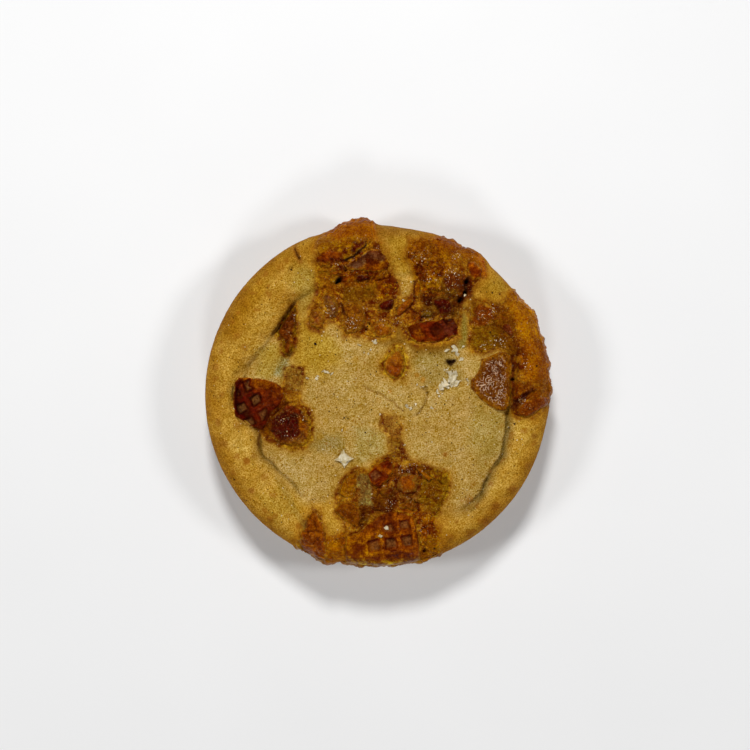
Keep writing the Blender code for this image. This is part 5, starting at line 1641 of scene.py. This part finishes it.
SCATTERED = 170
SPECK_THICKNESS = 0.22
more = draw.uniform(-1, 1, (SCATTERED, 2)) * SPECK_REACH
more = more[np.hypot(*more.T) < SPECK_REACH]
chips = np.concatenate([np.array(SPECKS), np.column_stack([more, draw.uniform(0.18, 0.42, len(more))])])
spin = np.column_stack([draw.normal(0, 0.2, (len(chips), 2)), draw.uniform(0, FULL_TURN, len(chips))])
uneven = [draw.uniform(0.8, 1.2, len(chips)), draw.uniform(0.5, 0.9, len(chips))]
bulk = np.column_stack([chips[:, 2:3] * np.column_stack(uneven), np.full(len(chips), SPECK_THICKNESS)])
place = np.column_stack([chips[:, :2], resting(chips[:, :2]) + 0.02])
specks = through_nodes(
    points_with("burnt_specks", place, bulk, spin), lay, sides=6, ragged=0.4 * MM, material=burnt_finish,
)
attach(specks, "root")


# ---- Studio ----
# A plain pale floor, soft light from all round that is strongest from the back, and the camera
# straight above.
FLOOR_SIZE = 1600.0  # half its side
FLOOR_HEIGHT = -0.05
corners = np.array([(-1, -1, 0), (1, -1, 0), (1, 1, 0), (-1, 1, 0)]) * FLOOR_SIZE + (0, 0, FLOOR_HEIGHT)
board = new_mesh("studio_floor", corners, [[0, 1, 2, 3]])
board_paint, tree, shader, where = new_material("pale_matt_board")
tone = ranged(tree, noise_of(tree, where, 60.0), 0.0, 1.0, 0.86, 0.88)
fill(tree, shader, {"Base Color": tone, "Roughness": 0.9})
board.data.materials.append(board_paint)

# The room is darker overhead, so that gloss seen from above keeps its colour.
OVERHEAD, AROUND = 0.05, 0.5
world = bpy.data.worlds.new("studio_air")
bpy.context.scene.world = world
world.use_nodes = True
air = world.node_tree
way_up = add(air, "ShaderNodeSeparateXYZ", {0: add(air, "ShaderNodeTexCoord").outputs["Generated"]})
glow = ranged(air, way_up.outputs[2], 0.1, 0.8, AROUND, OVERHEAD)
fill(air, air.nodes["Background"], {"Strength": glow})

# Soft boxes: azimuth from +X, elevation, distance and size in mm, power in watts.
for box, (azimuth, elevation, distance, size, power) in {
    "back": (95, 50, 700, 150, 3.2),
    "left": (185, 42, 700, 150, 1.4),
    "right": (0, 42, 700, 150, 1.4),
    "front": (-88, 40, 700, 150, 1.05),
}.items():
    lamp = bpy.data.lights.new(box + "_soft_box", "AREA")
    lamp.shape = "DISK"
    lamp.size = size * MM
    lamp.energy = power
    holder = bpy.data.objects.new(box + "_soft_box", lamp)
    a, e = math.radians(azimuth), math.radians(elevation)
    way = Vector((math.cos(a) * math.cos(e), math.sin(a) * math.cos(e), math.sin(e)))
    facing = way.to_track_quat("Z", "Y").to_matrix().to_4x4()
    holder.matrix_world = Matrix.Translation(way * distance * MM) @ facing
    bpy.context.scene.collection.objects.link(holder)

PICTURE = 750  # pixels across
COOKIE_CENTRE = (376.24, 394.64)  # pixel of the round outline's centre in the photograph
OUTLINE_PIXELS = 171.92  # radius of the outline there
OUTLINE_HEIGHT = 11.8  # the widest line's height
LENS, SENSOR = 85.0, 36.0
MM_PER_PIXEL = RADIUS / OUTLINE_PIXELS
camera_data = bpy.data.cameras.new("camera")
camera_data.lens = LENS
camera_data.sensor_width = SENSOR
camera = bpy.data.objects.new("camera", camera_data)
camera.location = (
    (PICTURE / 2 - COOKIE_CENTRE[0]) * MM_PER_PIXEL * MM,
    (COOKIE_CENTRE[1] - PICTURE / 2) * MM_PER_PIXEL * MM,
    (OUTLINE_HEIGHT + LENS / SENSOR * PICTURE * MM_PER_PIXEL) * MM,
)
bpy.context.scene.collection.objects.link(camera)
bpy.context.scene.camera = camera
bpy.context.scene.view_settings.view_transform = "Standard"
